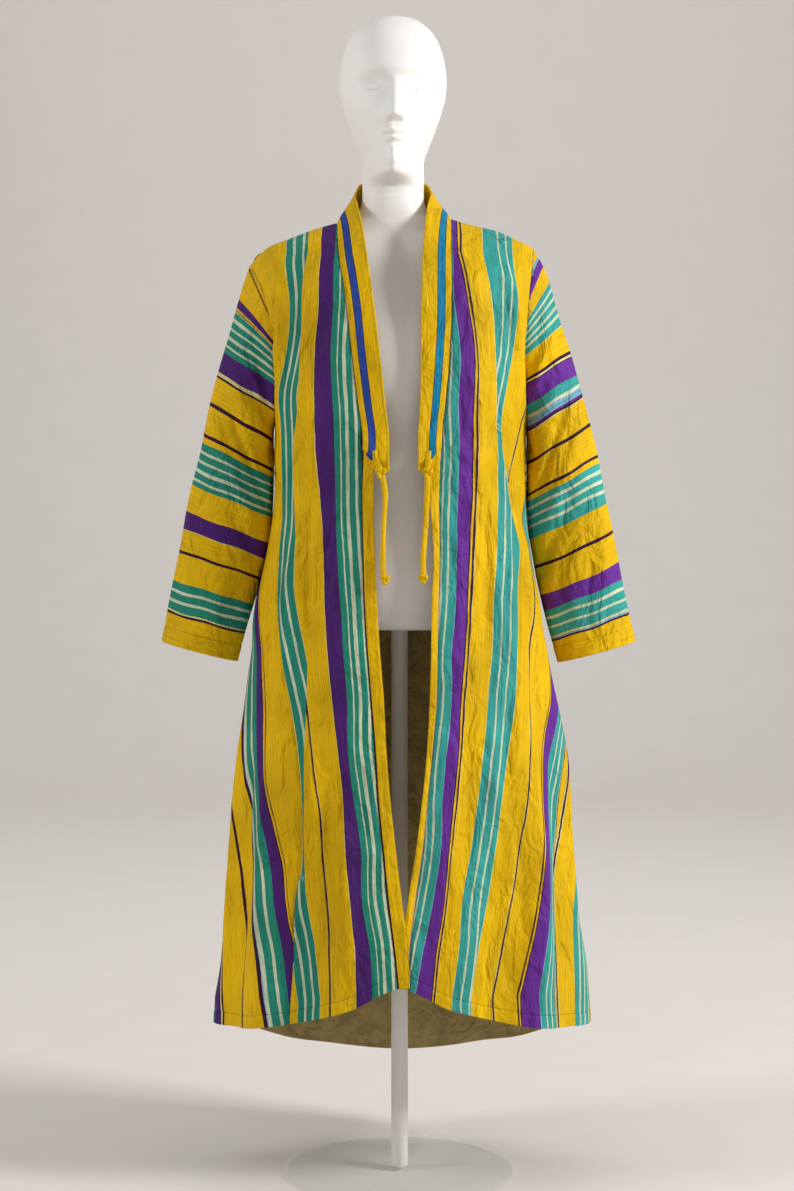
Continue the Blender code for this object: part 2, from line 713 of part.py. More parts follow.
def sleeve(side, rings=17):
    """A sleeve: a tube from the armhole to the cuff, its rings turning from upright to level."""
    rows = SLEEVE_RIGHT if side < 0 else SLEEVE_LEFT
    at = np.linspace(0, len(rows) - 1, rings)
    steps = np.arange(len(rows), dtype=float)
    lines = {n: smooth(steps, column(rows, SLEEVE_NAMES, n), at) for n in SLEEVE_NAMES}
    around = np.arange(4 * ROLL_ROWS) * np.pi / 2 / ROLL_ROWS
    outer = np.stack([side * lines["outer_x"], 0 * at, lines["outer_z"]], axis=-1)
    inner = np.stack([side * lines["inner_x"], 0 * at, lines["inner_z"]], axis=-1)
    centre = (outer + inner) / 2
    across = (outer - inner) / 2
    points = centre[:, None] + across[:, None] * np.cos(around)[None, :, None]
    points[:, :, 1] -= lines["half_depth"][:, None] * np.sin(around)
    points[0], body_normals = armhole_loop(side)
    normals = tube_normals(points, centre)
    beyond = normals[0, :, 0] * side > body_normals[:, 0] * side
    normals[0, beyond] = body_normals[beyond]
    name = "sleeve_right" if side < 0 else "sleeve_left"
    return wall(name, "yellow", points, points - normals * CLOTH, wrap=True)


def armhole_loop(side):
    """The armhole's points and normals: down the front from the ridge and up the back."""
    top = ridge_height(side, lambda z: armhole_turn(side, z))
    z = body_rows(top, 0.0)[: 2 * ROLL_ROWS + 1].ravel()
    z = np.concatenate([z, z[-2:0:-1]])
    turn = armhole_turn(side, z)
    turn[2 * ROLL_ROWS] = 0
    turn[2 * ROLL_ROWS + 1 :] *= -1
    loop, normals = coat(side, turn, z)
    loop[0, 1] = 0
    normals[0, 1] = 0
    normals[0] /= np.linalg.norm(normals[0])
    loop[:, 0] += side * 2 * SEAM
    loop[2 * ROLL_ROWS, 2] += SEAM
    return loop, normals


def tube_normals(points, centre):
    """Unit normals of a tube's grid of rings, pointing away from its centre line."""
    along = np.gradient(points, axis=0)
    around = np.roll(points, -1, axis=1) - np.roll(points, 1, axis=1)
    normal = np.cross(along, around)
    normal /= np.linalg.norm(normal, axis=-1, keepdims=True)
    away = np.sum(normal * (points - centre[:, None]), axis=-1, keepdims=True)
    return normal * np.where(np.median(away) < 0, -1, 1)


def edge_strip(side, cols=3):
    """The narrow strip along a front edge, from the neckband's end to the hem."""
    share = np.linspace(0, 1, cols)

    def line(z):
        first = seam_turn(side, z)
        first = first + turn_gap(side, first, z, SEAM / 2)
        return first + (edge_turn(side, z) - first) * share

    z = skirt_rows(hem_height(line))
    z -= (BAND_SLANT * share + 2 * SEAM) * np.linspace(1, 0, SKIRT_ROWS + 1)[:, None]
    points, normals = coat(side, line(z), z)
    name = "edge_strip_right" if side < 0 else "edge_strip_left"
    return wall(name, "yellow", points, points - normals * CLOTH)


def band_half(side, cols):
    """Half of the neckband: points from its lower end up the front and round to the centre back."""
    rows = BAND_RIGHT if side < 0 else BAND_LEFT
    along = front_rows(side, np.zeros(1))[: 2 * ROLL_ROWS + 2, 0][::-1]
    seam = coat(side, seam_turn(side, along), along)[0]
    seam[-1, 1] = 0
    edge = np.stack([read(rows, BAND_NAMES, n, along) for n in BAND_NAMES[1:]], axis=-1)
    x = neckline_x(side)[1:]
    height = neckline_height(side, x)
    turn = -np.where(np.abs(x) < 1e-6, 90, turn_at(side, x, height))
    back_seam = coat(side, turn, height)[0]
    swing = np.linspace(0, np.pi / 2, NECK_COLUMNS + 1)[1:]
    share = swing / (np.pi / 2)
    side_x, side_y, side_z = edge[-1]
    stand_x = NECK_X + (side_x - NECK_X) * np.cos(swing)
    stand_y = side_y + (STAND_DEPTH - side_y) * np.sin(swing)
    stand_z = side_z + (STAND_TOP - side_z) * ease(share * 2.8) - STAND_DIP * ease(share * 2 - 1)
    seam = np.concatenate([seam, back_seam])
    edge = np.concatenate([edge, np.stack([stand_x, stand_y, stand_z], axis=-1)])
    across = edge - seam
    across /= np.linalg.norm(across, axis=-1, keepdims=True)
    seam = seam + across * 2 * SEAM
    step = np.linspace(0, 1, cols)[None, :, None]
    return seam[:, None] * (1 - step) + edge[:, None] * step


def neckband(cols=4):
    """The neckband, in one piece round the neck and down both fronts."""
    points = np.concatenate([band_half(-1, cols), band_half(1, cols)[-2::-1]], axis=0)
    normals = np.cross(np.gradient(points, axis=0), np.gradient(points, axis=1))
    normals /= np.linalg.norm(normals, axis=-1, keepdims=True)
    normals *= -np.sign(normals[2, 1, 1])
    return wall("neckband", "yellow", points, points - normals * BAND)


def tie(side):
    """A soft cord that hangs from the band's lower end to a small knot."""
    rows = TIE_RIGHT if side < 0 else TIE_LEFT
    keys = np.arange(len(rows), dtype=float)
    fine = np.linspace(0, len(rows) - 1, 400)
    route = np.stack([smooth(keys, column(rows, TIE_NAMES, n), fine) for n in TIE_NAMES], axis=-1)
    length = np.concatenate([[0], np.cumsum(np.linalg.norm(np.diff(route, axis=0), axis=-1))])
    count = int(round(length[-1] / TIE_STEP)) + 1
    at = np.linspace(0, length[-1], count)
    points = np.stack([np.interp(at, length, route[:, k]) for k in range(3)], axis=-1)
    name = "tie_right" if side < 0 else "tie_left"
    cord = bpy.data.curves.new(name, "CURVE")
    cord.dimensions = "3D"
    cord.bevel_depth = TIE_RADIUS
    cord.bevel_resolution = 2
    cord.use_fill_caps = True
    spline = cord.splines.new("POLY")
    spline.points.add(count - 1)
    for i, (point, reached) in enumerate(zip(points, at)):
        spline.points[i].co = (*point, 1)
        knot = np.exp(-(((length[-1] - reached - TIE_KNOT_RADIUS) / TIE_KNOT_RADIUS) ** 2))
        spline.points[i].radius = 1 + (TIE_KNOT_RADIUS / TIE_RADIUS - 1) * knot
    return place(bpy.data.objects.new(name, cord), "yellow")


def form_rows():
    """The form's sections from the hip to the crown, the shoulders worked out from the ridge."""
    carried = []
    for half in CARRIED_SHOULDER:
        height = float(ridge(half)) - FORM_CLEARANCE
        carried.append((height, half, SHOULDER_FRONT, SHOULDER_BACK, 2.0, 0.0))
    return TORSO + tuple(carried) + NECK


def form(cols=32):
    """The dress form: one closed loft from the pole's socket over the torso to the crown."""
    rows = form_rows()
    around = np.radians(np.arange(cols) * 360 / cols)
    heights = column(rows, FORM_NAMES, "height")
    face = (heights > CHIN) & (heights < BROW)
    heights = np.sort(np.concatenate([heights, heights[face] + FACE_STEP]))
    lines = {n: read(rows, FORM_NAMES, n, heights)[:, None] for n in FORM_NAMES[1:]}
    s = np.sin(around)[None]
    c = np.cos(around)[None]
    power = 2 / np.where(s > 0, lines["point"], np.maximum(lines["point"], 2))
    x = lines["half_width"] * np.sign(c) * np.abs(c) ** power + NECK_X * lines["shift"]
    y = -np.sign(s) * np.where(s > 0, lines["front"], lines["back"]) * np.abs(s) ** power
    z = np.broadcast_to(heights[:, None], x.shape)
    y = y - nose(x - NECK_X, z) * (s > 0)
    outside = np.stack([x, y, z], axis=-1)
    socket = POLE_RADIUS + POLE_CLEARANCE
    bore = [
        np.stack([socket * np.cos(around), -socket * np.sin(around), 0 * around + h], axis=-1)
        for h in (FORM_BOTTOM + POLE_SOCKET, FORM_BOTTOM)
    ]
    return loft("form", "white", np.concatenate([np.array(bore), outside]))


def nose(x, z):
    """A plain nose: a wedge that grows from the bridge to the tip and drops to its base."""
    grow = np.clip((NOSE_BRIDGE - z) / (NOSE_BRIDGE - NOSE_TIP), 0, 1)
    drop = np.clip((z - NOSE_BASE) / (NOSE_TIP - NOSE_BASE), 0, 1)
    return NOSE_RISE * grow * drop * np.exp(-((x / NOSE_HALF_WIDTH) ** 2))


def pole():
    """The round pole from the foot into the form's socket."""
    top = FORM_BOTTOM + POLE_SOCKET - POLE_CLEARANCE
    bottom = FOOT_THICKNESS + POLE_CLEARANCE
    bpy.ops.mesh.primitive_cylinder_add(
        vertices=32, radius=POLE_RADIUS, depth=top - bottom, location=(0, 0, (top + bottom) / 2)
    )
    made = bpy.context.object
    made.name = "pole"
    return place(made, "metal")


def foot():
    """The round glass plate that the pole stands on."""
    bpy.ops.mesh.primitive_cylinder_add(
        vertices=64,
        radius=FOOT_RADIUS,
        depth=FOOT_THICKNESS,
        location=(0, 0, FOOT_THICKNESS / 2),
    )
    made = bpy.context.object
    made.name = "foot"
    return place(made, "glass")


for old in list(bpy.data.objects):
    bpy.data.objects.remove(old, do_unlink=True)
parts = bpy.data.collections.new("chapan_on_dress_form")
bpy.context.scene.collection.children.link(parts)

for wearer_side in (-1, 1):
    front_panel(wearer_side)
    back_panel(wearer_side)
    gore(wearer_side)
    sleeve(wearer_side)
    edge_strip(wearer_side)
    tie(wearer_side)
back_lining()
neckband()
form()
pole()
foot()
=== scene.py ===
"""A striped, open-fronted long coat (chapan) on a limbless dress form: its looks.

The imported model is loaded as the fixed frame. Every piece of cloth is built here as a thin shell
on the form of its own solid: a point of the coat is given by a turn round the body (+90 centre
front, 0 side, -90 centre back) and a height, as in the part's source, and soft creases are added.

Each piece carries two UV maps, both in metres. "cloth" holds the place across the stripes and the
place along them, and "trim" holds the distance from the nearest hem and the way along it.
Units are metres, +Z is up, the wearer faces -Y and the wearer's right side lies at -X.
"""

import bpy
import numpy as np
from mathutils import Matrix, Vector


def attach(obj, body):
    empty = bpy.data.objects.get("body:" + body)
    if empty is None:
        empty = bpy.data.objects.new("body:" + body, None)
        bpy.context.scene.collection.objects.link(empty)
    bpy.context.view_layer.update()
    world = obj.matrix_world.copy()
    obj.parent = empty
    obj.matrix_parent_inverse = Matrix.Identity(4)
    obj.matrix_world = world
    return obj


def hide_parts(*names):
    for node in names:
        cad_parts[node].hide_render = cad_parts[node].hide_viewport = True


bl_info = {
    "name": "Chapan robe on a dress form",
    "version": (1, 0, 0),
    "blender": (4, 5, 0),
    "location": "View3D > Sidebar > Chapan",
    "description": "Builds a striped open-fronted robe on a limbless dress form",
    "category": "Object",
}

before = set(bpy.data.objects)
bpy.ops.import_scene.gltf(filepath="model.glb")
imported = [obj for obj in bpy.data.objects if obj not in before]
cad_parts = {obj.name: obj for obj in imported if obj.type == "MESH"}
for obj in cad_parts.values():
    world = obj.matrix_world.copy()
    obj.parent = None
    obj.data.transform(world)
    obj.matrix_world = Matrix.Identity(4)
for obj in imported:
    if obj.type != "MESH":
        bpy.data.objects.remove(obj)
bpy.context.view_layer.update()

CLOTH = 0.002           # thickness of the striped cloth
LINING = 0.001          # thickness of the lining
BAND = 0.003            # thickness of the neckband, cloth folded over
SEAM = 0.0003           # gap between two sewn pieces
NECK_COLUMNS = 24       # columns of the back from each end of the neckline to the centre
ROUNDNESS = 2.3         # exponent of the body's section, 2 being an ellipse
SHOULDER_ROLL = 0.13    # height over which the cloth rolls from the ridge down to the chest
UNDERARM = 1.165        # height of the underarm
GORE_START = 0.05       # the gores and edge strips start this share of the way down to the hem
BAND_SLANT = 0.024      # the neckband's lower end drops by this much to its free edge
LINING_TOP = 1.005      # about where the lining starts, below the gore's point
LINING_RISE = 0.008     # how far the lining's edge lies above the back hem
NECK_X = -0.01          # the form's neck and head stand a little to the wearer's right
POLE_RADIUS = 0.013
POLE_SOCKET = 0.06      # depth of the pole's socket in the form
POLE_CLEARANCE = 0.0003
FOOT_RADIUS = 0.18
FOOT_THICKNESS = 0.008
FORM_BOTTOM = 0.85
FORM_CLEARANCE = 0.0037  # from the ridge's outside to the form, the cloth lying between
TIE_RADIUS = 0.0043
TIE_KNOT_RADIUS = 0.0068
BODY_RADIUS = 0.23      # mean radius of the body, by which turns become distances round it
SLEEVE_RADIUS = 0.062   # the same for a sleeve
SLEEVE_LENGTH = 0.46
HEM_STITCHES = 0.019    # the stitched line's distance from the hem
CUFF_STITCHES = 0.025   # and from the cuff
CUFF_GROOVE = 0.026     # the groove that they leave at the cuff
BAND_STITCHES = 0.0035  # the stitched line's distance from the neckband's free edge
STRIP_STITCHES = 0.014  # and two lines' distances from an edge strip's lower end
STRIP_UPPER_STITCHES = 0.04
TOP_FADE = 0.03         # seams and hems leave no mark in the cloth this near to the ridge
CAMERA_PLACE = (-0.004, 1.05)   # across and height; its distance is a setting
CAMERA_TILT = 87.439    # degrees from straight down
CAMERA_LENS = 66.64     # focal length in mm
CAMERA_SENSOR = 36      # width of the sensor in mm

# ---------------- tables

# Distances above a hem at which rows lie, for its turned edge.
HEM_ROWS = (
    0.03, 0.026, 0.0225, 0.0205, 0.019, 0.0175, 0.0155, 0.012, 0.008, 0.0045, 0.002, 0.001,
    0.0004, 0.0,
)

# Half widths to the wearer's right and left, and depths to the front and back, by height.
BODY = (
    "height half_right half_left front back",
    (1.5, 0.25, 0.225, 0.1, 0.1), (1.4, 0.245, 0.222, 0.118, 0.11), (1.34, 0.226, 0.216, 0.126, 0.116),
    (1.3, 0.214, 0.212, 0.13, 0.118), (1.25, 0.206, 0.207, 0.133, 0.118),
    (1.2, 0.2, 0.2005, 0.134, 0.117), (1.165, 0.193, 0.193, 0.134, 0.116),
    (1.045, 0.188, 0.191, 0.134, 0.117), (0.97, 0.197, 0.198, 0.138, 0.122),
    (0.89, 0.214, 0.215, 0.144, 0.13), (0.815, 0.226, 0.227, 0.15, 0.138),
    (0.7, 0.241, 0.244, 0.158, 0.15), (0.58, 0.255, 0.258, 0.167, 0.163),
    (0.46, 0.267, 0.272, 0.176, 0.175), (0.34, 0.279, 0.284, 0.185, 0.186),
    (0.24, 0.284, 0.292, 0.193, 0.195), (0.13, 0.286, 0.294, 0.198, 0.202),
)

# The ridge along the shoulders: its height by the distance from the centre plane.
RIDGE = (
    "across height",
    (0, 1.503), (0.05, 1.487), (0.09, 1.4708), (0.13, 1.459), (0.17, 1.444), (0.205, 1.429),
    (0.232, 1.4), (0.25, 1.37),
)
LEFT_SHOULDER = 0.004      # the wearer's left shoulder stands this much higher,
LEFT_SHOULDER_X = 0.155    # at this distance from the centre plane
LEFT_SHOULDER_HALF = 0.03  # and over this half width

# The hem's height by turn.
HEM = (
    "turn height",
    (95, 0.327), (90, 0.327), (85, 0.315), (80, 0.3), (70, 0.283), (60, 0.27), (45, 0.259), (30, 0.25),
    (15, 0.244), (0, 0.24), (-15, 0.228), (-30, 0.207), (-45, 0.182), (-60, 0.163), (-75, 0.148),
    (-90, 0.143), (-95, 0.143),
)

# The front lines across the body, positive to the wearer's left: where each front meets its
# neckband or edge strip, and the free edge of each strip.
FRONT = (
    "height seam_right seam_left edge_right edge_left",
    (1.48, -0.0985, 0.08, -0.038, 0.04), (1.409, -0.092, 0.079, -0.038, 0.04),
    (1.36, -0.084, 0.0786, -0.038, 0.04), (1.314, -0.078, 0.0782, -0.038, 0.04),
    (1.264, -0.0728, 0.0754, -0.038, 0.04), (1.193, -0.064, 0.0699, -0.038, 0.04),
    (1.143, -0.0565, 0.064, -0.038, 0.04), (1.045, -0.0574, 0.059, -0.0381, 0.0445),
    (0.971, -0.0559, 0.0597, -0.0366, 0.049), (0.897, -0.0544, 0.0581, -0.0336, 0.047),
    (0.824, -0.0499, 0.0566, -0.0292, 0.046), (0.75, -0.0439, 0.0551, -0.0233, 0.044),
    (0.677, -0.038, 0.0491, -0.0196, 0.04), (0.603, -0.0336, 0.0417, -0.0136, 0.033),
    (0.53, -0.0262, 0.0345, -0.0055, 0.024), (0.457, -0.0188, 0.0239, 0.0033, 0.0122),
    (0.384, -0.0099, 0.0151, 0.0121, 0.0004), (0.328, -0.0041, 0.0121, 0.0151, -0.0026),
    (0.3, -0.003, 0.011, 0.016, -0.004),
)

# The armholes' distance from the centre plane by height.
ARMHOLE = (
    "height right left",
    (1.44, 0.2345, 0.2055), (1.4, 0.2285, 0.2035), (1.373, 0.2125, 0.2), (1.34, 0.203, 0.197),
    (1.3, 0.1935, 0.1955), (1.25, 0.1895, 0.195), (1.2, 0.1898, 0.1942), (1.18, 0.1915, 0.1936),
    (1.165, 0.193, 0.193),
)

# The turn of the seams on either side of each gore by height.
GORE = (
    "height front_right front_left back",
    (1.165, 0, 0, 0), (1.119, 1, 1, -1), (1.045, 20, 4.5, -5), (0.97, 24, 5, -7),
    (0.895, 32, 5, -9), (0.82, 41, 5, -11), (0.747, 48, 5.5, -13),
    (0.662, 54.5, 9, -15.5), (0.588, 57.8, 15, -17.5), (0.515, 58.6, 24, -19.5),
    (0.443, 56.8, 31, -21.5), (0.37, 57.4, 35, -23.5), (0.296, 57, 37.5, -25.5),
    (0.13, 57, 38.5, -28),
)

# The largest folds: the turn at the top and at the hem, the height where the fold begins, how far
# it stands out at the hem (negative for a groove), and half its width as a turn.
FOLDS_RIGHT = (
    (66, 60, 1.12, -0.012, 7), (72, 72, 1, 0.006, 9), (42, 44, 0.95, 0.01, 9),
    (24, 26, 0.9, -0.009, 8), (10, 9, 0.9, 0.004, 8), (-14, -16, 0.95, -0.01, 9),
    (-34, -36, 1.05, 0.012, 9), (-52, -53, 1.1, -0.012, 9), (-69, -71, 1.15, 0.01, 8),
    (-90, -90, 1.2, -0.009, 9),
)
FOLDS_LEFT = (
    (70, 76, 1.05, 0.005, 8), (60, 62, 1.12, -0.01, 8), (44, 47, 0.95, 0.01, 9),
    (22, 28, 0.9, -0.009, 8), (9, 10, 0.9, 0.0045, 8), (-12, -14, 0.95, -0.011, 9),
    (-30, -32, 1.05, 0.011, 9), (-48, -49, 1.1, -0.011, 9), (-65, -67, 1.15, 0.011, 8),
    (-90, -90, 1.2, -0.009, 9),
)

# Each sleeve by its outer line and its inner line (distance from the centre plane and height),
# and half its depth. The first row is replaced by the armhole, which the rings follow less and less
# over ARMHOLE_ROWS rows.
ARMHOLE_ROWS = 0.5625
SLEEVE_NAMES = "outer_x outer_z inner_x inner_z half_depth"
SLEEVE_RIGHT = (
    SLEEVE_NAMES,
    (0.233, 1.399, 0.193, 1.165, 0.055), (0.247, 1.35, 0.1938, 1.138, 0.055),
    (0.26, 1.305, 0.1929, 1.108, 0.053), (0.2755, 1.255, 0.1936, 1.074, 0.05),
    (0.2925, 1.19, 0.1956, 1.034, 0.047), (0.3075, 1.118, 0.1985, 0.993, 0.044),
    (0.3255, 1.045, 0.2055, 0.95, 0.041), (0.3405, 0.965, 0.218, 0.909, 0.039),
    (0.3555, 0.891, 0.2343, 0.857, 0.037), (0.3672, 0.8275, 0.2505, 0.7966, 0.036),
)
SLEEVE_LEFT = (
    SLEEVE_NAMES,
    (0.206, 1.4285, 0.193, 1.165, 0.055), (0.227, 1.385, 0.1948, 1.14, 0.056),
    (0.246, 1.32, 0.1944, 1.112, 0.053), (0.264, 1.264, 0.1951, 1.078, 0.05),
    (0.285, 1.192, 0.1954, 1.036, 0.047), (0.3035, 1.118, 0.1985, 0.993, 0.044),
    (0.319, 1.042, 0.2065, 0.948, 0.041), (0.335, 0.966, 0.2155, 0.904, 0.039),
    (0.35, 0.891, 0.2285, 0.85, 0.037), (0.3637, 0.8275, 0.245, 0.795, 0.036),
)

# The free edge of the neckband from its lower end up to the shoulder ridge. "along" is the height
# of the seam edge opposite each point.
BAND_NAMES = "along edge_x edge_y edge_z"
BAND_RIGHT = (
    BAND_NAMES,
    (1.12, -0.015, -0.1345, 1.098), (1.143, -0.015, -0.135, 1.128), (1.193, -0.021, -0.1355, 1.184),
    (1.264, -0.029, -0.134, 1.258), (1.314, -0.035, -0.131, 1.312), (1.36, -0.042, -0.1235, 1.364),
    (1.409, -0.05, -0.102, 1.42), (1.44, -0.057, -0.072, 1.462), (1.46, -0.064, -0.04, 1.492),
    (1.4685, -0.069, -0.005, 1.512),
)
BAND_LEFT = (
    BAND_NAMES,
    (1.12, 0.0265, -0.1345, 1.098), (1.143, 0.0265, -0.135, 1.128), (1.193, 0.03, -0.1355, 1.184),
    (1.264, 0.0312, -0.134, 1.258), (1.314, 0.0318, -0.131, 1.312), (1.36, 0.0328, -0.1235, 1.364),
    (1.409, 0.0345, -0.102, 1.42), (1.44, 0.039, -0.072, 1.462), (1.46, 0.043, -0.04, 1.492),
    (1.4748, 0.049, -0.005, 1.514),
)
NECKLINE_HEIGHT = 1.4765   # the back neckline
STAND_DEPTH = 0.06         # the band's upper edge behind the neck
STAND_TOP = 1.533          # height of that edge beside the neck
STAND_DIP = 0.011          # how far it sinks from there to the centre back
TAB_ROWS = 8               # rows of each rounded lower end of the band
TIP_ROWS = 3               # of these, the rows that are plain yellow
TAB_LIFT = 0.0068          # how far the ends stand up over the ties' starts

# The form: half width and depths by height, from the hip to the top of the head; "point" is the
# exponent of the front of the section, lower where the chin narrows; "shift" is the share of
# NECK_X by which the section is moved.
FORM_NAMES = "height half_width front back point shift"
TORSO = (
    (0.85, 0.156, 0.099, 0.098, 2.2, 0), (0.856, 0.163, 0.106, 0.105, 2.2, 0),
    (0.875, 0.167, 0.11, 0.108, 2.2, 0), (0.93, 0.167, 0.11, 0.108, 2.2, 0),
    (1, 0.15, 0.101, 0.1, 2.2, 0), (1.07, 0.131, 0.094, 0.09, 2.2, 0),
    (1.14, 0.136, 0.101, 0.092, 2.2, 0), (1.22, 0.148, 0.115, 0.099, 2.3, 0),
    (1.29, 0.158, 0.112, 0.103, 2.3, 0.1), (1.35, 0.173, 0.094, 0.099, 2.3, 0.1),
    (1.395, 0.184, 0.074, 0.087, 2.3, 0.1), (1.418, 0.184, 0.063, 0.073, 2.2, 0.1),
    (1.432, 0.178, 0.055, 0.061, 2.1, 0.1),
)
CARRIED_SHOULDER = (0.168, 0.15, 0.13, 0.11)  # half widths at which the form carries the cloth
SHOULDER_DEPTH = 0.042                           # half its depth there
NECK = (
    (1.4635, 0.087, 0.042, 0.042, 2, 0.6), (1.469, 0.072, 0.043, 0.043, 2, 0.9),
    (1.476, 0.06, 0.044, 0.044, 2, 1), (1.486, 0.0515, 0.045, 0.046, 2, 1),
    (1.498, 0.048, 0.046, 0.049, 2, 1), (1.512, 0.047, 0.046, 0.051, 2, 1),
    (1.523, 0.047, 0.052, 0.053, 1.9, 1), (1.529, 0.047, 0.068, 0.055, 1.6, 1),
    (1.534, 0.0475, 0.086, 0.057, 1.4, 1), (1.545, 0.047, 0.095, 0.06, 1.4, 1),
    (1.565, 0.048, 0.098, 0.067, 1.45, 1), (1.585, 0.0555, 0.098, 0.075, 1.55, 1),
    (1.605, 0.0632, 0.098, 0.084, 1.65, 1), (1.63, 0.0722, 0.096, 0.093, 1.75, 1),
    (1.655, 0.0793, 0.094, 0.099, 1.85, 1), (1.68, 0.0818, 0.094, 0.102, 1.95, 1),
    (1.705, 0.0795, 0.093, 0.102, 2, 1), (1.73, 0.0735, 0.087, 0.097, 2, 1),
    (1.75, 0.064, 0.076, 0.086, 2, 1), (1.765, 0.05, 0.06, 0.069, 2, 1),
    (1.7745, 0.034, 0.041, 0.048, 2, 1), (1.779, 0.016, 0.02, 0.024, 2, 1),
)

# The form's face, calm and plain. Heights on it, and how far the nose stands out.
NOSE_BRIDGE = 1.662
NOSE_TIP = 1.6175
NOSE_BASE = 1.6075
NOSE_RISE = 0.017
MOUTH = 1.5893
LID_LINE = 1.6545
SOCKET_CREASE = 1.6715
FACE_X = 0.0035          # the face looks a little to the wearer's left
EYE_APART = 0.04         # from the middle of the face to the middle of an eye
# Mounds and hollows: rise, distance from the middle, height, half width and half height. First
# those in the middle: brow, hollow over the chin, chin, upper lip, lower lip, groove under the nose.
FACE_MIDDLE = (
    (0.003, 0, 1.688, 0.05, 0.01), (-0.004, 0, 1.577, 0.014, 0.005), (0.005, 0, 1.554, 0.018, 0.011),
    (0.005, 0, 1.5945, 0.0165, 0.004), (0.0055, 0, 1.5835, 0.014, 0.0044),
    (-0.0012, 0, 1.602, 0.003, 0.006),
)
# And those on each side: wing of the nose, eye socket, closed lid, cheek.
FACE_SIDE = (
    (0.0042, 0.0115, 1.6135, 0.0046, 0.005), (-0.0085, 0.0352, 1.6665, 0.019, 0.0125),
    (0.0068, 0.04, 1.661, 0.015, 0.0088), (0.0028, 0.046, 1.625, 0.02, 0.018),
)

# Each tie hangs from the band's lower end: across, forward and height of its line.
TIE_NAMES = "x y z"
TIE_RIGHT = (
    TIE_NAMES,
    (-0.0375, -0.1369, 1.118), (-0.035, -0.1375, 1.106), (-0.0305, -0.1385, 1.093),
    (-0.025, -0.1392, 1.076), (-0.0215, -0.14, 1.056), (-0.0218, -0.1402, 1.035),
    (-0.0232, -0.1412, 1.015), (-0.0244, -0.1428, 0.99), (-0.025, -0.1444, 0.965),
    (-0.0248, -0.1464, 0.944), (-0.0228, -0.149, 0.931), (-0.0215, -0.1498, 0.9225),
)
TIE_LEFT = (
    TIE_NAMES,
    (0.0425, -0.1371, 1.118), (0.0415, -0.1376, 1.106), (0.0412, -0.1386, 1.088),
    (0.0408, -0.1394, 1.07), (0.04, -0.1402, 1.05), (0.039, -0.1406, 1.028), (0.038, -0.1418, 1.006),
    (0.0362, -0.1432, 0.984), (0.0347, -0.1446, 0.964), (0.0345, -0.1466, 0.944),
    (0.0352, -0.149, 0.933), (0.0348, -0.1498, 0.924),
)

# The stripes' own lines on the fronts, as turns by height: "a" lines on the wearer's right front
# and "b" lines on the left one, each counted from the band outwards. a1 to a2 holds the purple
# stripe and a3 is the fold under which the cloth of the shoulder runs; a4 ends the teal group.
# b1 to b2 holds the purple stripe, b3 to b4 the teal group, and the dark lines follow.
RIGHT_LINES = (
    "height a1 a2 a3 a4",
    (1.418, 70.2, 64.9, 59.5, 49.1), (1.341, 67.3, 60.8, 52.4, 45.5), (1.267, 63.5, 55.7, 47.4, 36.9),
    (1.193, 62.9, 53.5, 42.9, 25.7), (1.119, 61.9, 51.7, 34, 22), (1.045, 62.5, 53.6, 35, 21.3),
    (0.971, 65, 57.4, 41.5, 23.6), (0.897, 68.6, 61, 49.7, 32.4), (0.823, 71.2, 64.3, 55.2, 41),
    (0.75, 73.7, 67.7, 56.8, 48.2), (0.676, 74.7, 71, 57.5, 54.3), (0.603, 77.3, 73.7, 58.9, 57.7),
    (0.53, 79.9, 75.2, 59.7, 59.1), (0.457, 80.6, 77.1, 61.5, 58.4), (0.384, 83.1, 78.9, 66, 57.3),
    (0.312, 84, 79.5, 68.8, 60.9),
)
LEFT_LINES = (
    "height b1 b2 b3 b4 b5 b6 b7 b8",
    (1.418, 72.2, 70.6, 59.1, 43, 20, 19, 18, 17),
    (1.341, 71.3, 65.7, 53.1, 39.5, 18, 16, 14, 12),
    (1.267, 67.9, 61.4, 49.6, 37.4, 14, 9, 8, 7),
    (1.193, 67.5, 60.1, 45.3, 40.3, 15.8, 4, 3, 2),
    (1.119, 65.5, 58.5, 40.5, 37.2, 27.6, 4, 3, 2),
    (1.074, 66.2, 59, 41, 34, 33.3, 6, 5, 4.9),
    (1.045, 66.8, 59.4, 41.3, 32.6, 32, 13.5, 12, 11.8),
    (1.023, 67.2, 60.2, 42.2, 30.5, 29.5, 20.3, 18.4, 18.2),
    (0.971, 68.2, 61.8, 44.7, 26, 25, 15.8, 14.2, 14),
    (0.93, 69.5, 63.7, 48.3, 31.6, 30.5, 17.4, 13, 12.8),
    (0.905, 70.3, 65, 50.6, 35, 33.9, 19.2, 6.6, 6.4),
    (0.86, 71.9, 66.7, 53.3, 38.7, 37.4, 24, 6.6, 6),
    (0.823, 73.4, 68.2, 55.1, 41.5, 40, 29.1, 8.2, 6),
    (0.75, 74.3, 71, 59.1, 46.3, 45, 36.2, 17.5, 6.5),
    (0.676, 76.8, 72.7, 62.4, 51.8, 50, 41.1, 31.4, 21.7),
    (0.603, 78.6, 75, 65.8, 56.2, 54, 45.3, 37, 30.5),
    (0.53, 79.6, 77.2, 69.3, 60, 58, 50.3, 40.6, 34.3),
    (0.457, 82, 78.9, 73, 64.2, 62, 55.4, 45.1, 38.6),
    (0.384, 84.9, 81.4, 74.8, 68.5, 66, 60, 50.1, 43.5),
    (0.311, 87.2, 83, 77.3, 71.6, 69, 64.4, 55.8, 48),
)
LEFT_ARM_LINE = 1.072    # above it the dark line runs to the armhole, below it another starts there
RIGHT_TUCK = 0.485       # above it the teal group is counted from its outer line, below from its fold
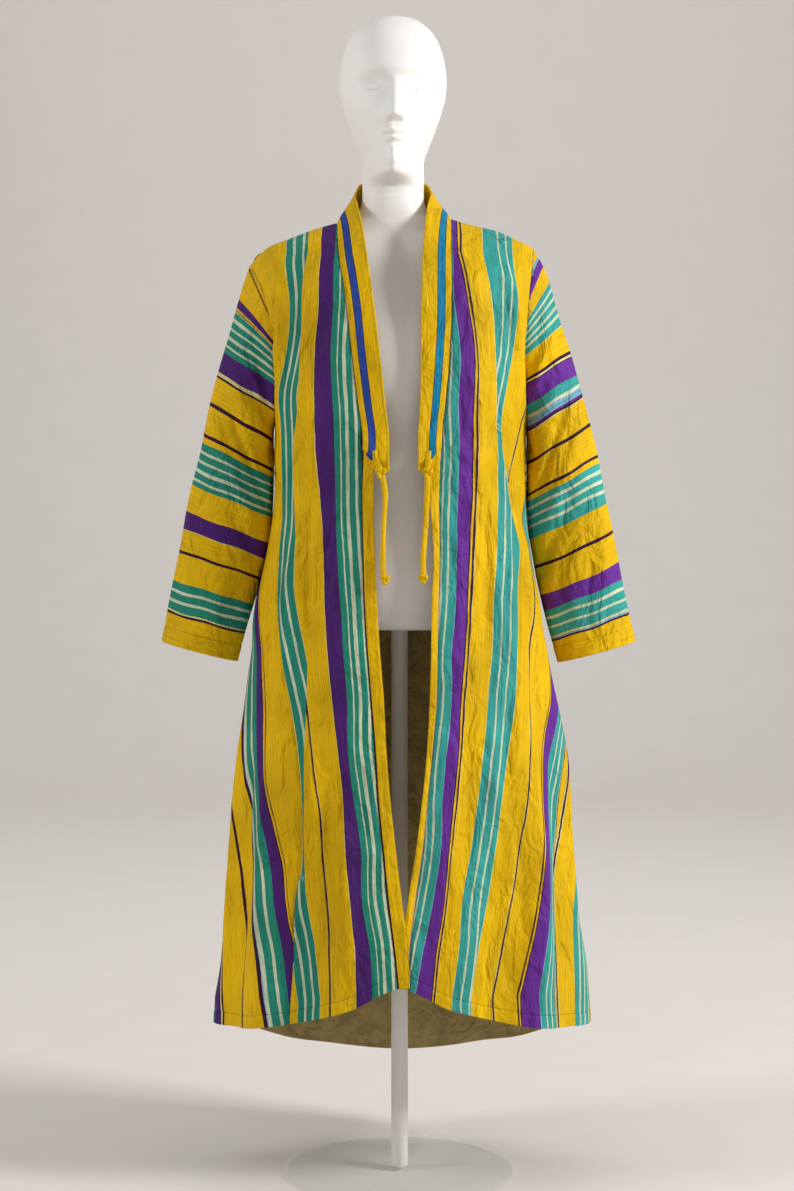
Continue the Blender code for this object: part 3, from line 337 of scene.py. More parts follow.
LEFT_TUCK = 1.15         # the same on the left front
FOLD_LINE_TOP = 0.748    # above it the dark line by the right front's fold is hidden in the fold

# Soft creases: turn and height of the start and of the end, half width in mm, and how far the cloth
# stands out as a multiple of CREASE_DEPTH.
CREASE_DEPTH = 0.0024
CREASE_BOW = 0.009       # how far the middle of a crease lies beside the line from start to end
CREASE_FADE = 0.35       # share of its length over which it fades at each end
CREASES_RIGHT = (
    (62, 1.42, 30, 1.17, 13, -4), (50, 1.42, 24, 1.22, 12, 3), (40, 1.33, 8, 1.19, 10, -3),
    (56, 1.24, 50, 1, 12, 2.2), (46, 1.1, 58, 0.8, 13, -3), (66, 1.1, 70, 0.86, 11, 1.8),
    (36, 1, 52, 0.72, 14, 3), (20, 0.98, 44, 0.62, 14, -3), (62, 0.74, 66, 0.46, 14, 2.6),
    (70, 0.7, 73, 0.34, 11, -2.4), (76, 0.66, 79, 0.33, 10, 2.2), (52, 0.58, 56, 0.3, 13, -2.8),
    (40, 0.7, 46, 0.26, 15, 3), (26, 0.72, 34, 0.26, 15, -3), (10, 0.8, 20, 0.25, 15, 2.6),
)
CREASES_LEFT = (
    (64, 1.43, 34, 1.2, 12, -4), (52, 1.42, 30, 1.25, 11, 3), (36, 1.32, 8, 1.18, 10, -2.6),
    (58, 1.24, 54, 1.02, 12, 2), (50, 1.06, 60, 0.82, 13, -3.2), (68, 1.04, 72, 0.8, 11, 1.8),
    (34, 1.06, 50, 0.76, 14, 2.8), (20, 1.02, 40, 0.66, 14, -2.8), (58, 0.78, 64, 0.5, 14, 2.6),
    (70, 0.8, 76, 0.36, 11, -2.2), (80, 0.66, 83, 0.34, 10, 1.8), (50, 0.62, 56, 0.3, 13, -3),
    (40, 0.66, 46, 0.27, 15, 2.8), (24, 0.74, 34, 0.27, 15, -2.8), (8, 0.84, 18, 0.25, 15, 2.4),
)
CREASES_BACK = (
    (-62, 1.4, -28, 1.18, 13, -3.6), (-44, 1.36, -10, 1.19, 12, 2.8), (-84, 1.42, -70, 1.12, 14, 2.2),
    (-74, 1.22, -80, 0.9, 14, -2.6), (-58, 1.1, -62, 0.74, 14, 2.8), (-40, 1.02, -46, 0.6, 14, -2.8),
    (-22, 1, -28, 0.5, 14, 2.6), (-80, 0.86, -84, 0.4, 14, 2.6), (-70, 0.7, -74, 0.24, 14, -2.6),
    (-54, 0.66, -58, 0.22, 15, 2.8), (-34, 0.62, -38, 0.24, 15, -2.6), (-12, 0.8, -16, 0.26, 15, 2.4),
)

# Creases of a sleeve: turn from its outer line over the front and share of the way down, at the
# start and at the end, half width in mm, and rise as a multiple of SLEEVE_CREASE_DEPTH.
SLEEVE_CREASE_DEPTH = 0.0016
SLEEVE_CREASES = (
    (150, 0.02, 60, 0.3, 13, -3.4), (120, 0.05, 30, 0.24, 11, 2.6), (170, 0.1, 110, 0.42, 12, -3),
    (30, 0.36, 165, 0.5, 12, -3.6), (10, 0.44, 140, 0.6, 13, 3), (60, 0.58, 170, 0.74, 12, -2.6),
    (20, 0.62, 60, 0.92, 13, 2), (110, 0.7, 120, 0.97, 12, -1.8), (210, 0.06, 300, 0.3, 13, -3.2),
    (200, 0.34, 330, 0.52, 13, -3.2), (220, 0.5, 340, 0.66, 13, 2.8), (210, 0.66, 270, 0.94, 13, -2.2),
)

# How much fuller the cloth hangs under the arms, and how much it falls in lower down, by height.
EASE_SIDE = (
    "height right left",
    (1.2, 0, 0), (1.165, 0.0015, 0.001), (1.12, 0.007, 0.0045), (1.05, 0.0062, 0.005),
    (0.974, 0.008, 0.004), (0.915, 0.009, 0.001), (0.88, 0.0085, 0), (0.85, 0.006, -0.0015),
    (0.82, 0.001, 0), (0.78, 0, 0), (0.64, 0, 0.0045), (0.56, -0.001, 0),
    (0.48, -0.004, -0.002), (0.4, -0.006, -0.002), (0.33, -0.006, 0.003), (0.28, 0, 0.003),
)
EASE_HALF = 24           # half width of that fullness, as a turn
SLACK_DEPTH = 0.0013     # height of the cloth's slow unevenness
LAP_DEPTH = 0.0055       # how far the right front stands off where it laps over the left one


# ---------------- curves


def column(table, name=None):
    """One named column of a table whose first row holds the names, or its first column."""
    k = table[0].split().index(name) if name else 0
    return np.array([row[k] for row in table[1:]], float)


def read(table, name, at):
    """A smooth curve through a named column, read at values of the table's first column."""
    return smooth(column(table), column(table, name), at)


def smooth(keys, values, at):
    """Cubic curve through the values, with its slopes from the neighbours, clamped at both ends."""
    order = np.argsort(keys)
    keys = keys[order]
    values = values[order]
    slopes = np.gradient(values, keys)
    at = np.clip(np.asarray(at, float), keys[0], keys[-1])
    i = np.clip(np.searchsorted(keys, at, side="right") - 1, 0, len(keys) - 2)
    span = keys[i + 1] - keys[i]
    t = (at - keys[i]) / span
    return (
        (1 + 2 * t) * (1 - t) ** 2 * values[i]
        + t * (1 - t) ** 2 * span * slopes[i]
        + t * t * (3 - 2 * t) * values[i + 1]
        + t * t * (t - 1) * span * slopes[i + 1]
    )


def ease(t):
    """Runs smoothly from 0 to 1 while t does."""
    t = np.clip(t, 0, 1)
    return t * t * (3 - 2 * t)


def bell(distance, half):
    """A bell curve: 1 at no distance, falling to 1/e at half and on towards 0."""
    return np.exp(-((distance / half) ** 2))


def unit(vectors):
    """Vectors made 1 m long."""
    return vectors / np.maximum(np.linalg.norm(vectors, axis=-1, keepdims=True), 1e-12)


# ---------------- the coat's surface


def word(side):
    """A side's name: -1 is the wearer's right and +1 the left."""
    return "right" if side < 0 else "left"


def half_width(side, z):
    """The body's half width on one side."""
    return read(BODY, "half_" + word(side), z)


def ridge(x):
    """Height of the shoulder ridge at a distance from the centre plane, fuller on the left."""
    rise = LEFT_SHOULDER * bell(x - LEFT_SHOULDER_X, LEFT_SHOULDER_HALF)
    return read(RIDGE, "height", np.abs(x)) + rise


def fold_rise(side, turn, z):
    """How far the folds push the cloth out: each is a soft bump in turn that grows down to the hem."""
    total = np.zeros(np.broadcast(turn, z).shape)
    for top_turn, hem_turn, start, rise, half in FOLDS_RIGHT if side < 0 else FOLDS_LEFT:
        down = np.clip((start - z) / (start - 0.2), 0, 1)
        middle = top_turn + (hem_turn - top_turn) * down
        total = total + rise * ease(down) * bell(turn - middle, half)
    return total


def crease_sum(creases, turn, z, girth, length=1.0):
    """Soft creases: each is a bump across a slightly bowed line in arc and height, its ends faded."""
    total = np.zeros(np.broadcast(turn, z).shape)
    for from_turn, from_at, to_turn, to_at, half, rise in creases:
        from_x, from_z = np.radians(from_turn) * girth, from_at * length
        way_x, way_z = np.radians(to_turn) * girth - from_x, to_at * length - from_z
        size = np.hypot(way_x, way_z)
        way_x, way_z = way_x / size, way_z / size
        x, y = np.radians(turn) * girth - from_x, z * length - from_z
        t = (x * way_x + y * way_z) / size
        across = x * way_z - y * way_x - CREASE_BOW * np.sin(np.pi * np.clip(t, 0, 1))
        faded = ease(t / CREASE_FADE) * ease((1 - t) / CREASE_FADE)
        total += rise * faded * bell(across, half * 0.001)
    return total


def crease_rise(side, turn, z):
    """The coat's creases, kept from sinking into the form at the chest."""
    creases = (CREASES_RIGHT if side < 0 else CREASES_LEFT) + CREASES_BACK
    total = crease_sum(creases, turn, z, BODY_RADIUS)
    deepest = 0.0022 + 0.005 * ease((1.2 - z) / 0.1)
    return np.maximum(total * CREASE_DEPTH, -deepest)


def side_ease(side, turn, z):
    """The extra fullness at the side: a broad bump about the side's own line, by height."""
    return read(EASE_SIDE, word(side), z) * bell(turn, EASE_HALF)


def slack(side, turn, z):
    """The cloth's slow unevenness: a few long waves that don't repeat."""
    a = turn * 0.105 + 1.7 * side
    return SLACK_DEPTH * (
        np.sin(a + 5.1 * z + 0.8 * np.sin(9 * z + side))
        + 0.7 * np.sin(1.9 * a - 8.3 * z + 2.0 * side)
        + 0.5 * np.sin(0.6 * a + 21 * z + 1.1 * np.sin(1.3 * a))
    ) * ease((1.4 - z) / 0.15) * ease((turn + 90) / 14)


def lap(side, turn, x, z):
    """The wearer's right front laps over the left one below the knee."""
    if side > 0:
        return np.zeros(np.broadcast(x, z).shape)
    return LAP_DEPTH * ease((0.56 - z) / 0.14) * ease((x + 0.11) / 0.08) * (turn > 0)


def bare(side, turn, z):
    """The master surface without folds: a superellipse section that rolls over the shoulders."""
    turn, z = np.broadcast_arrays(np.asarray(turn, float), np.asarray(z, float))
    angle = np.radians(turn)
    c = np.cos(angle)
    s = np.sin(angle)
    power = 2 / ROUNDNESS
    x = side * half_width(side, z) * np.sign(c) * np.abs(c) ** power
    depth = np.where(s >= 0, read(BODY, "front", z), read(BODY, "back", z))
    fall = np.clip((ridge(x) - z) / SHOULDER_ROLL, 0, 1)
    roll = np.sqrt(np.clip(1 - (1 - fall) ** 2, 0, 1))
    y = -np.sign(s) * depth * np.abs(s) ** power * roll
    return np.stack([x, y, z], axis=-1)


def outward(side, turn, z):
    """Unit normals of the master surface."""
    step_turn = 0.05
    step_z = 0.0004
    round_it = bare(side, turn + step_turn, z) - bare(side, turn - step_turn, z)
    down = bare(side, turn, z - step_z) - bare(side, turn, z + 0.25 * step_z)
    normal = np.cross(round_it, down) * side
    return unit(normal)


def coat(side, turn, z, lift=0.0):
    """Points and normals of the coat with its folds and creases, lifted outwards by lift."""
    points = bare(side, turn, z)
    normals = outward(side, turn, z)
    rise = fold_rise(side, turn, z) + lap(side, turn, points[..., 0], z) + lift
    rise = rise + crease_rise(side, turn, z) + slack(side, turn, z) + side_ease(side, turn, z)
    flat = normals.copy()
    flat[..., 2] = 0
    return points + unit(flat) * np.asarray(rise)[..., None], normals


def turn_at(side, x, z):
    """The turn at which the front of the body passes a distance x from the centre plane."""
    share = np.clip(np.abs(x) / half_width(side, z), 0, 1)
    turn = np.degrees(np.arccos(share ** (ROUNDNESS / 2)))
    return np.where(x * side > 0, turn, 180 - turn)


def turn_gap(side, turn, z, gap):
    """The change of turn that moves a point round the body by gap."""
    step = np.linalg.norm(bare(side, turn + 0.5, z) - bare(side, turn - 0.5, z), axis=-1)
    return gap / np.maximum(step, 1e-4)


def seam_turn(side, z, line="seam_"):
    """Turn of the line where a front meets its neckband or strip, or of the strip's free edge."""
    return turn_at(side, read(FRONT, line + word(side), z), z)


def armhole_turn(side, z):
    """Turn of the front of the armhole."""
    return turn_at(side, side * read(ARMHOLE, word(side), z), z)


def gore_turn(side, z):
    """Turn of the seam between a front and its gore."""
    return read(GORE, "front_" + word(side), z)


def front_side_turn(side, z):
    """The outer line of a front: the armhole, and below the underarm the gore's seam."""
    return np.where(z > UNDERARM, armhole_turn(side, z), gore_turn(side, z))


def back_gore_turn(z):
    """The turn of the seam between the back and a gore, the same on both sides."""
    return read(GORE, "back", z)


def back_side_turn(side, z):
    """The outer line of the back on one side."""
    return np.where(z > UNDERARM, -armhole_turn(side, z), back_gore_turn(z))


def ridge_height(side, turn_line):
    """The height at which a line of turns meets the shoulder ridge."""
    z = np.full(np.shape(turn_line(1.43)), 1.43)
    for _ in range(60):
        z = 0.5 * z + 0.5 * ridge(bare(side, turn_line(z), z)[..., 0])
    return z


def hem_height(turn_line):
    """The height at which a line of turns meets the hem."""
    z = np.full(np.shape(turn_line(0.25)), 0.25)
    for _ in range(30):
        z = read(HEM, "height", turn_line(z))
    return z


def skirt_rows(bottom, rows=104):
    """Heights from the gore's point to the hem, closer together over the turned hem."""
    top = UNDERARM + (bottom - UNDERARM) * GORE_START
    share = np.linspace(0, 1, rows + 1)[:-1, None]
    upper = top + (bottom + HEM_ROWS[0] - top) * share
    return np.concatenate([upper, bottom + np.array(HEM_ROWS)[:, None]])


def body_rows(top, bottom, roll_rows=16, chest_rows=16):
    """Heights from the shoulder ridge to the hem: the roll, down to the underarm, the skirt."""
    quarter = np.linspace(0, np.pi / 2, roll_rows + 1)[:, None]
    roll = top - SHOULDER_ROLL * (1 - np.cos(quarter))
    low = UNDERARM + (bottom - UNDERARM) * GORE_START
    share = np.linspace(0, 1, chest_rows + 1)[1:-1, None]
    chest = roll[-1:] + (low - roll[-1:]) * share
    return np.concatenate([roll, chest, skirt_rows(bottom)])


# ---------------- meshes

SHARP_CLOTH = 40         # edges that turn by more degrees than this stay sharp, on cloth
SHARP_SOLID = 45         # and on the form, the stand and the ties


def level(normals):
    """Turns the first row of normals straight out of the ridge, so that front and back meet."""
    normals[0, :, 1] = 0
    normals[0] = unit(normals[0])


def grid_normals(points, guide, wrap=False):
    """Unit normals of a grid: its two directions crossed, on the side that guide points to."""
    down = np.gradient(points, axis=0)
    if wrap:
        around = np.roll(points, -1, axis=1) - np.roll(points, 1, axis=1)
    else:
        around = np.gradient(points, axis=1)
    normal = unit(np.cross(down, around))
    return normal * np.where(np.sum(normal * guide, axis=-1, keepdims=True) < 0, -1, 1)


def run(points, axis):
    """Distance along a grid's rows or columns from its first line."""
    step = np.linalg.norm(np.diff(points, axis=axis), axis=-1)
    zero = np.zeros_like(np.take(step, [0], axis=axis))
    return np.concatenate([zero, np.cumsum(step, axis=axis)], axis=axis)


def turned_edge(distance, thickness):
    """Share of the wall's thickness left at a distance from a free edge: a half circle."""
    t = np.clip(np.asarray(distance) / (thickness / 2), 0, 1)
    return np.clip(np.sqrt(1 - (1 - t) ** 2), 0.06, 1)


def shell(name, points, normals, thickness, left, right, trim, full=1.0, wrap=False):
    """A closed thin wall: the grid, the same grid moved inwards, and its edges joined.

    left and right hold the cloth map at the two sides of each column of faces, trim the trim map.
    full is the share of the thickness that stands at each point: where a free edge is rounded,
    the middle of the wall stays in place.
    """
    rows, cols = points.shape[:2]
    count = rows * cols
    full = np.broadcast_to(full, (rows, cols))[..., None]
    outer = (points - normals * thickness * (1 - full) / 2).reshape(-1, 3)
    inner = (points - normals * thickness * (1 + full) / 2).reshape(-1, 3)
    index = np.arange(count).reshape(rows, cols)
    cur = index if wrap else index[:, :-1]
    nxt = np.roll(index, -1, axis=1) if wrap else index[:, 1:]
    span = cur.shape[1]
    trim_cur = trim[:, :span]
    trim_nxt = np.roll(trim, -1, axis=1)[:, :span].copy()
    if wrap:
        trim_nxt[:, -1, 1] = 2 * trim[:, -1, 1] - trim[:, -2, 1]

    def corners(here, there):
        return np.stack([here[:-1], here[1:], there[1:], there[:-1]], axis=2)

    quads = corners(cur, nxt).reshape(-1, 4)
    cloth = corners(left[:, :span], right[:, :span]).reshape(-1, 4, 2)
    edge = corners(trim_cur, trim_nxt).reshape(-1, 4, 2)
    borders = [(cur[0], nxt[0]), (nxt[-1], cur[-1])]
    if not wrap:
        borders += [(index[1:, 0], index[:-1, 0]), (index[:-1, -1], index[1:, -1])]
    sides = np.concatenate([np.stack([a, b, b + count, a + count], axis=-1) for a, b in borders])
    cloth_at = np.zeros((count, 2))
    edge_at = np.zeros((count, 2))
    cloth_at[quads.ravel()] = cloth.reshape(-1, 2)
    edge_at[quads.ravel()] = edge.reshape(-1, 2)
    faces = np.concatenate([quads, quads[:, ::-1] + count, sides])
    cloth = np.concatenate([cloth, cloth[:, ::-1], cloth_at[sides % count]])
    edge = np.concatenate([edge, edge[:, ::-1], edge_at[sides % count]])
    facing = np.cross(outer[quads[:, 1]] - outer[quads[:, 0]], outer[quads[:, 3]] - outer[quads[:, 0]])
    if np.sum(facing * normals.reshape(-1, 3)[quads[:, 0]]) < 0:
        faces, cloth, edge = faces[:, ::-1], cloth[:, ::-1], edge[:, ::-1]
    inside = np.repeat([0, 1, 0], [len(quads), len(quads), len(sides)])
    return mesh_object(name, np.concatenate([outer, inner]), faces, cloth, edge, inside)


def mesh_object(name, points, faces, cloth=None, trim=None, inside=None):
    """A smooth-shaded mesh object from arrays, with its UV maps and material slots."""
    mesh = bpy.data.meshes.new(name)
    mesh.from_pydata(points.tolist(), [], np.asarray(faces).tolist())
    for label, values in (("cloth", cloth), ("trim", trim)):
        if values is not None:
            uv_map(mesh, label, values)
    if inside is not None:
        mesh.polygons.foreach_set("material_index", np.asarray(inside, np.int32))
    mesh.update()
    return placed(name, mesh, SHARP_CLOTH)


def uv_map(mesh, label, values):
    """Gives a mesh a UV map from an array with a row for each corner of its faces."""
    layer = mesh.uv_layers.new(name=label)
    layer.uv.foreach_set("vector", np.ascontiguousarray(values, np.float32).ravel())


def linked(name, data):
    """A new object in the scene from its mesh, lamp or camera."""
    made = bpy.data.objects.new(name, data)
    bpy.context.scene.collection.objects.link(made)
    return made


def placed(name, mesh, angle):
    """Puts a mesh into the scene, shaded smooth but for edges sharper than angle."""
    mesh.shade_smooth()
    mesh.set_sharp_from_angle(angle=np.radians(angle))
    return linked("show_" + name, mesh)


def dress(made, grid, slot, materials, *nodes):
    """Carries a piece of cloth. It works out the width of its flat cut, from the widest row and
    for a sleeve the gap that closes its tube, but nothing uses that width.
    """
    wide = float(run(grid, 1)[:, -1].max())
    if "sleeve" in made.name:
        wide += float(np.linalg.norm(grid[:, 0] - grid[:, -1], axis=-1).max())
        grid = np.concatenate([grid, grid[:, :1]], axis=1)
    return carry(made, materials, slot, *nodes)


def carry(made, materials, slot, *nodes):
    """Gives a piece its materials, lets it ride on the model and stand for its solids. slot is not used.
    """
    for material in materials:
        made.data.materials.append(material)
    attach(made, "root")
    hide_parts(*nodes)
    return made


# ---------------- cloth charts

# Every chart lists the stripes of one stretch of cloth, each by its colour and its width in mm. A
# chart's own zero lies at its number times CHART_STEP; its first colour fills what comes before.
CHART_STEP = 0.6
CHART_MARGIN = 0.1


def stripes(text):
    """A chart from its words: a colour and a width by turns."""
    words = text.split()
    return [(colour, float(width)) for colour, width in zip(words[::2], words[1::2])]


CHART_RIGHT = (
    stripes("dark 1.2 teal 5 cream 4 teal 9.3 cream 5 teal 6.4 cream 2.4 teal 9.2"),
    stripes("dark 0.6 purple 21.6 dark 1 pale 0.8"),
    stripes("yellow 38.2 pale 0.5 dark 2.8 pale 0.4 yellow 60"),
    stripes("yellow 0.1 pale 0.8 teal 10.5 cream 4 teal 11.5 cream 4.5 teal 11 pale 1.2 yellow 60"),
)
CHART_LEFT = (
    stripes("cream 2 teal 4 cream 2.5 teal 7 cream 3 teal 11"),
    stripes("sky 0.8 purple 16.8"),
    stripes("dark 1.4 yellow 2.9 dark 2.9 pale 0.8 yellow 31.8 pale 1"),
    stripes("teal 11.5 cream 3.3 teal 10.5 cream 3.5 teal 9"),
    stripes("pale 1 yellow 60"),
    stripes("pale 0.4 dark 2.6 pale 0.6 yellow 60"),
    stripes("dark 2.2 yellow 2.4 dark 1.6 purple 30"),
    stripes("sky 0.8 teal 10 cream 3 teal 9 cream 3 teal 9 pale 1 dark 1.8 yellow 60"),
)
GROUP_WIDTH = 0.0435     # the right front's teal group, from its fold side to its outer line
CHART_GORE_RIGHT = (
    stripes("""yellow 0.1 dark 2 yellow 3.6 dark 1.6 purple 17 teal 12 cream 5 teal 12 cream 6 sky 3
        dark 6 yellow 44.5 dark 6 yellow 60 dark 4 pale 4 dark 3 purple 18 teal 12 cream 4 teal
        12 cream 4 teal 12 yellow 38 dark 2 yellow 60"""),
)
CHART_GORE_LEFT = (
    stripes("""pale 1.2 dark 2.6 pale 0.7 yellow 48 teal 11 cream 4 teal 9 cream 4 teal 11 cream 4 teal
        8 yellow 40 dark 2 yellow 38 dark 1 pale 2 dark 1 purple 20 teal 12 cream 4 teal 12
        yellow 60"""),
)
CHART_BACK = (
    stripes("""yellow 26 dark 2 yellow 36 dark 1 pale 2 dark 1 purple 20 sky 0.8 teal 10 cream 3 teal 9
        cream 3 teal 10 dark 1 yellow 33 pale 0.8 teal 10 cream 4 teal 11 cream 4 teal 10 pale 1
        yellow 38 dark 2 yellow 38 dark 1 pale 2 dark 1 purple 20 teal 60"""),
)
# The pattern shifts along the right gore's seam: by height, in metres.
GORE_SHIFT = (
    "height shift",
    (0.26, -0.032), (0.3, -0.023), (0.365, -0.01), (0.45, 0.009), (0.53, 0.031), (0.625, 0.053),
    (0.743, 0.052), (0.9, 0.05), (1.1, 0.045),
)

# A sleeve's stripes cross it. They are counted down its outer line from SLEEVE_CHART_TOP, and slope
# down towards the body at the angles given by height.
SLEEVE_CHART_TOP = 1.45
CHART_SLEEVE_RIGHT = (
    stripes("""yellow 42 dark 6 yellow 46.5 purple 13.5 yellow 3 dark 1.5 pale 1.5 teal 10 cream 4.2
        teal 9 cream 4.2 teal 9 cream 4.2 teal 9 cream 4.2 teal 9.6 purple 28.5 dark 1.5 pale 5
        dark 3.6 yellow 37.5 dark 5 yellow 41 dark 5 yellow 9 teal 11 cream 4.6 teal 10 cream
        4.6 teal 10 cream 4.6 teal 10 cream 4.6 teal 7 yellow 41 purple 25 pale 1.2 yellow 31
        dark 4.6 yellow 43 teal 12 cream 4.6 teal 10.6 cream 4.6 teal 12 pale 2.6 dark 4 yellow
        60"""),
)
CHART_SLEEVE_LEFT = (
    stripes("""yellow 30 sky 5.5 purple 13 yellow 23.5 teal 9 cream 4 teal 9 cream 4 teal 9.5 cream 4
        teal 9 cream 4 teal 13 pale 1.2 yellow 37 dark 5 pale 4 dark 1.2 purple 27 teal 13 cream
        5 sky 4 teal 3 sky 3 purple 3 dark 2.5 pale 1.5 yellow 40 dark 4.8 yellow 43 dark 4.8
        yellow 7 teal 10 cream 4.6 teal 10 cream 4.6 teal 10 cream 4.6 teal 17.5 yellow 42.5
        dark 4.6 yellow 45 purple 26 teal 11 cream 4.6 teal 11 cream 4.6 teal 12 pale 3 sky 3
        dark 3.6 yellow 60"""),
)
SLOPE_NAMES = "height slope"
SLOPES_RIGHT = (
    SLOPE_NAMES,
    (1.4, 66), (1.345, 48), (1.327, 42), (1.257, 31), (1.182, 31), (1.136, 28),
    (1.06, 22), (1, 20.5), (0.958, 19), (0.912, 17), (0.866, 16.5), (0.818, 15),
)
SLOPES_LEFT = (
    SLOPE_NAMES,
    (1.4, 66), (1.37, 57), (1.304, 37.5), (1.264, 31), (1.195, 31), (1.148, 30),
    (1.101, 27.5), (1.03, 24.8), (0.985, 24.5), (0.937, 22), (0.912, 21), (0.864, 19.3),
    (0.819, 18),
)
CHART_BAND = (
    stripes("dark 0.8 yellow 9.3 dark 1 blue 10.3 dark 1 yellow 60"),
    stripes("dark 0.8 yellow 9.3 dark 1 azure 10.3 dark 1 yellow 60"),
)
CHART_STRIP_RIGHT = (stripes("dark 3 yellow 60"),)
CHART_STRIP_LEFT = (stripes("rose 1.4 yellow 60"),)
CHART_PLAIN = (stripes("yellow 60"),)
BAND_PLAIN = 0.045       # a place in the plain yellow of the band's charts,
FRONT_PLAIN = 0.038      # in that of the right front's chart 2
PAST_LINE = 0.01         # and in that of the left front's chart 5


# ---------------- pieces of cloth

# Columns of faces from each line of a front to the next.
FRONT_COLUMNS_RIGHT = (11, 6, 12, 12, 15)
FRONT_COLUMNS_LEFT = (9, 5, 10, 9, 6, 6, 8, 6, 11)
# Where the neckband's columns lie, and the last ones of an edge strip, as shares of the width.
BAND_COLUMNS = (0, 0.02, 0.05, 0.1, 0.18, 0.27, 0.36, 0.45, 0.54, 0.63, 0.72, 0.8, 0.87, 0.92, 0.96,
                0.98, 0.993, 1.0)
STRIP_EDGE_COLUMNS = (0.955, 0.985, 1.0)


def stripe_lines(side, z):
    """Turns of a front's lines, kept in order: its inner seam, its stripes' lines, its outer line."""
    inner = seam_turn(side, z)
    inner = inner - turn_gap(side, inner, z, SEAM / 2)
    outer = front_side_turn(side, z)
    outer = outer + turn_gap(side, outer, z, SEAM / 2)
    table = RIGHT_LINES if side < 0 else LEFT_LINES
    names = table[0].split()[1:]
    lines = [inner]
    for k, name in enumerate(names):
        least = outer + 0.05 * (len(names) - k)
        lines.append(np.maximum(np.minimum(read(table, name, z), lines[-1] - 0.05), least))
    return lines + [outer]


def spread(counts):
    """Columns as (stretch, share of the stretch), closer together next to the outermost seams."""
    stretch, share = [], []
    for k, count in enumerate(counts):
        t = np.linspace(0, 1, count + 1)[:-1]
        if k == 0:
            t = t**1.6
        if k == len(counts) - 1:
            t = 1 - (1 - t) ** 1.6
        stretch.append(np.full(count, k))
        share.append(t)
    return np.append(np.concatenate(stretch), len(counts) - 1), np.append(np.concatenate(share), 1.0)


def seam_dip(distance):
    """Cloth drawn in along a seam: a narrow groove in the middle of a shallow one."""
    return -0.0016 * bell(distance, 0.0024) - 0.0011 * bell(distance, 0.008)


def pucker(where, distance, reach=0.016, wave=0.017, height=0.0005):
    """Small gathers that a line of stitches leaves beside itself, uneven along the seam."""
    ripple = np.sin(2 * np.pi * where / wave + 2.1 * np.sin(where * 31.0)) * (
        0.6 + 0.4 * np.sin(where * 23.0 + 1.0)
    )
    return height * ripple * np.exp(-distance / reach)


def hem_relief(distance, where, width=HEM_STITCHES):
    """A turned hem: thicker up to its stitches, with a groove along them and gathers beside it."""
    groove = -0.0007 * bell(distance - width, 0.0013)
    thick = 0.0005 * ease((width - distance) / 0.002)
    return groove + thick + pucker(where, distance, 0.03, 0.021, 0.00045)


def body_sheet(side, line, z):
    """Points, normals and measures of a stretch of the coat, with its seams and hem drawn in."""
    turn = line(z)
    points, _ = coat(side, turn, z)
    across = run(points, 1)
    down = run(points, 0)
    above = down[-1] - down
    lift = hem_relief(above, across)
    for distance in (across, across[:, -1:] - across):
        lift = lift + seam_dip(distance) + pucker(down, distance)
    lift = lift * ease(down / TOP_FADE)
    points, guide = coat(side, turn, z, lift)
    return points, grid_normals(points, guide), across, above


def cut(name, points, normals, place, across, above, slot, materials, thickness, full=None):
    """Makes a piece of cloth from its grid and its measures, place being the chart's coordinate.

    place is one grid, or two for the left and the right of each column of faces. above is the
    distance from the hem, which is rounded; full overrides that.
    """
    down = run(points, 0)
    left, right = place if isinstance(place, tuple) else (place[:, :-1], place[:, 1:])
    left = np.stack([left, down[:, :-1]], axis=-1)
    right = np.stack([right, down[:, 1:]], axis=-1)
    trim = np.stack([above, across], axis=-1)
    full = turned_edge(above, thickness) if full is None else full
    made = shell(name, points, normals, thickness, left, right, trim, full)
    return dress(made, points, slot, materials, name)


def front_panel(side, material, inner):
    """A front: from its band or strip seam to the armhole and the gore's seam."""
    counts = FRONT_COLUMNS_RIGHT if side < 0 else FRONT_COLUMNS_LEFT
    stretch, share = spread(counts)

    def line(z):
        lines = stripe_lines(side, z)
        turn = np.zeros(np.broadcast(z, share).shape)
        for k in range(len(counts)):
            own = stretch == k
            start = np.broadcast_to(lines[k], turn.shape)[..., own]
            end = np.broadcast_to(lines[k + 1], turn.shape)[..., own]
            turn[..., own] = start + (end - start) * share[own]
        return turn

    zero = np.zeros(len(share))
    z = body_rows(ridge_height(side, lambda h: line(h + zero)), hem_height(lambda h: line(h + zero)))
    name = "front_" + word(side)
    points, normals, across, above = body_sheet(side, line, z)
    points[0, :, 1] -= SEAM / 2
    level(normals)
    first = [int(np.argmax(stretch == k)) for k in range(len(counts))] + [len(share) - 1]
    charts = right_charts if side < 0 else left_charts
    place = charts(z, across, first)
    return cut(name, points, normals, place, across, above, "striped_cloth", (material, inner), CLOTH)


def chart_at(number, place):
    """The chart's coordinate of a place in metres from its zero."""
    return number * CHART_STEP + place


def from_start(number, across, first, last):
    """Chart coordinates counted from a stretch's first line."""
    return chart_at(number, across[:, first : last + 1] - across[:, first : first + 1])


def from_end(number, chart, across, first, last):
    """Chart coordinates counted back from a stretch's last line, at which the chart ends."""
    width = sum(stripe[1] for stripe in chart) / 1000
    return chart_at(number, width - (across[:, last : last + 1] - across[:, first : last + 1]))


def stretched(number, chart, across, first, last):
    """Chart coordinates spread evenly over a stretch, so that its stripes fill it."""
    width = sum(stripe[1] for stripe in chart) / 1000
    own = across[:, first : last + 1]
    return chart_at(number, width * (own - own[:, :1]) / (own[:, -1:] - own[:, :1]))


def split_sides(parts):
    """The chart coordinates on the left and the right of each column of faces."""
    left = np.concatenate([part[:, :-1] for part in parts], axis=1)
    right = np.concatenate([part[:, 1:] for part in parts], axis=1)
    return left, right


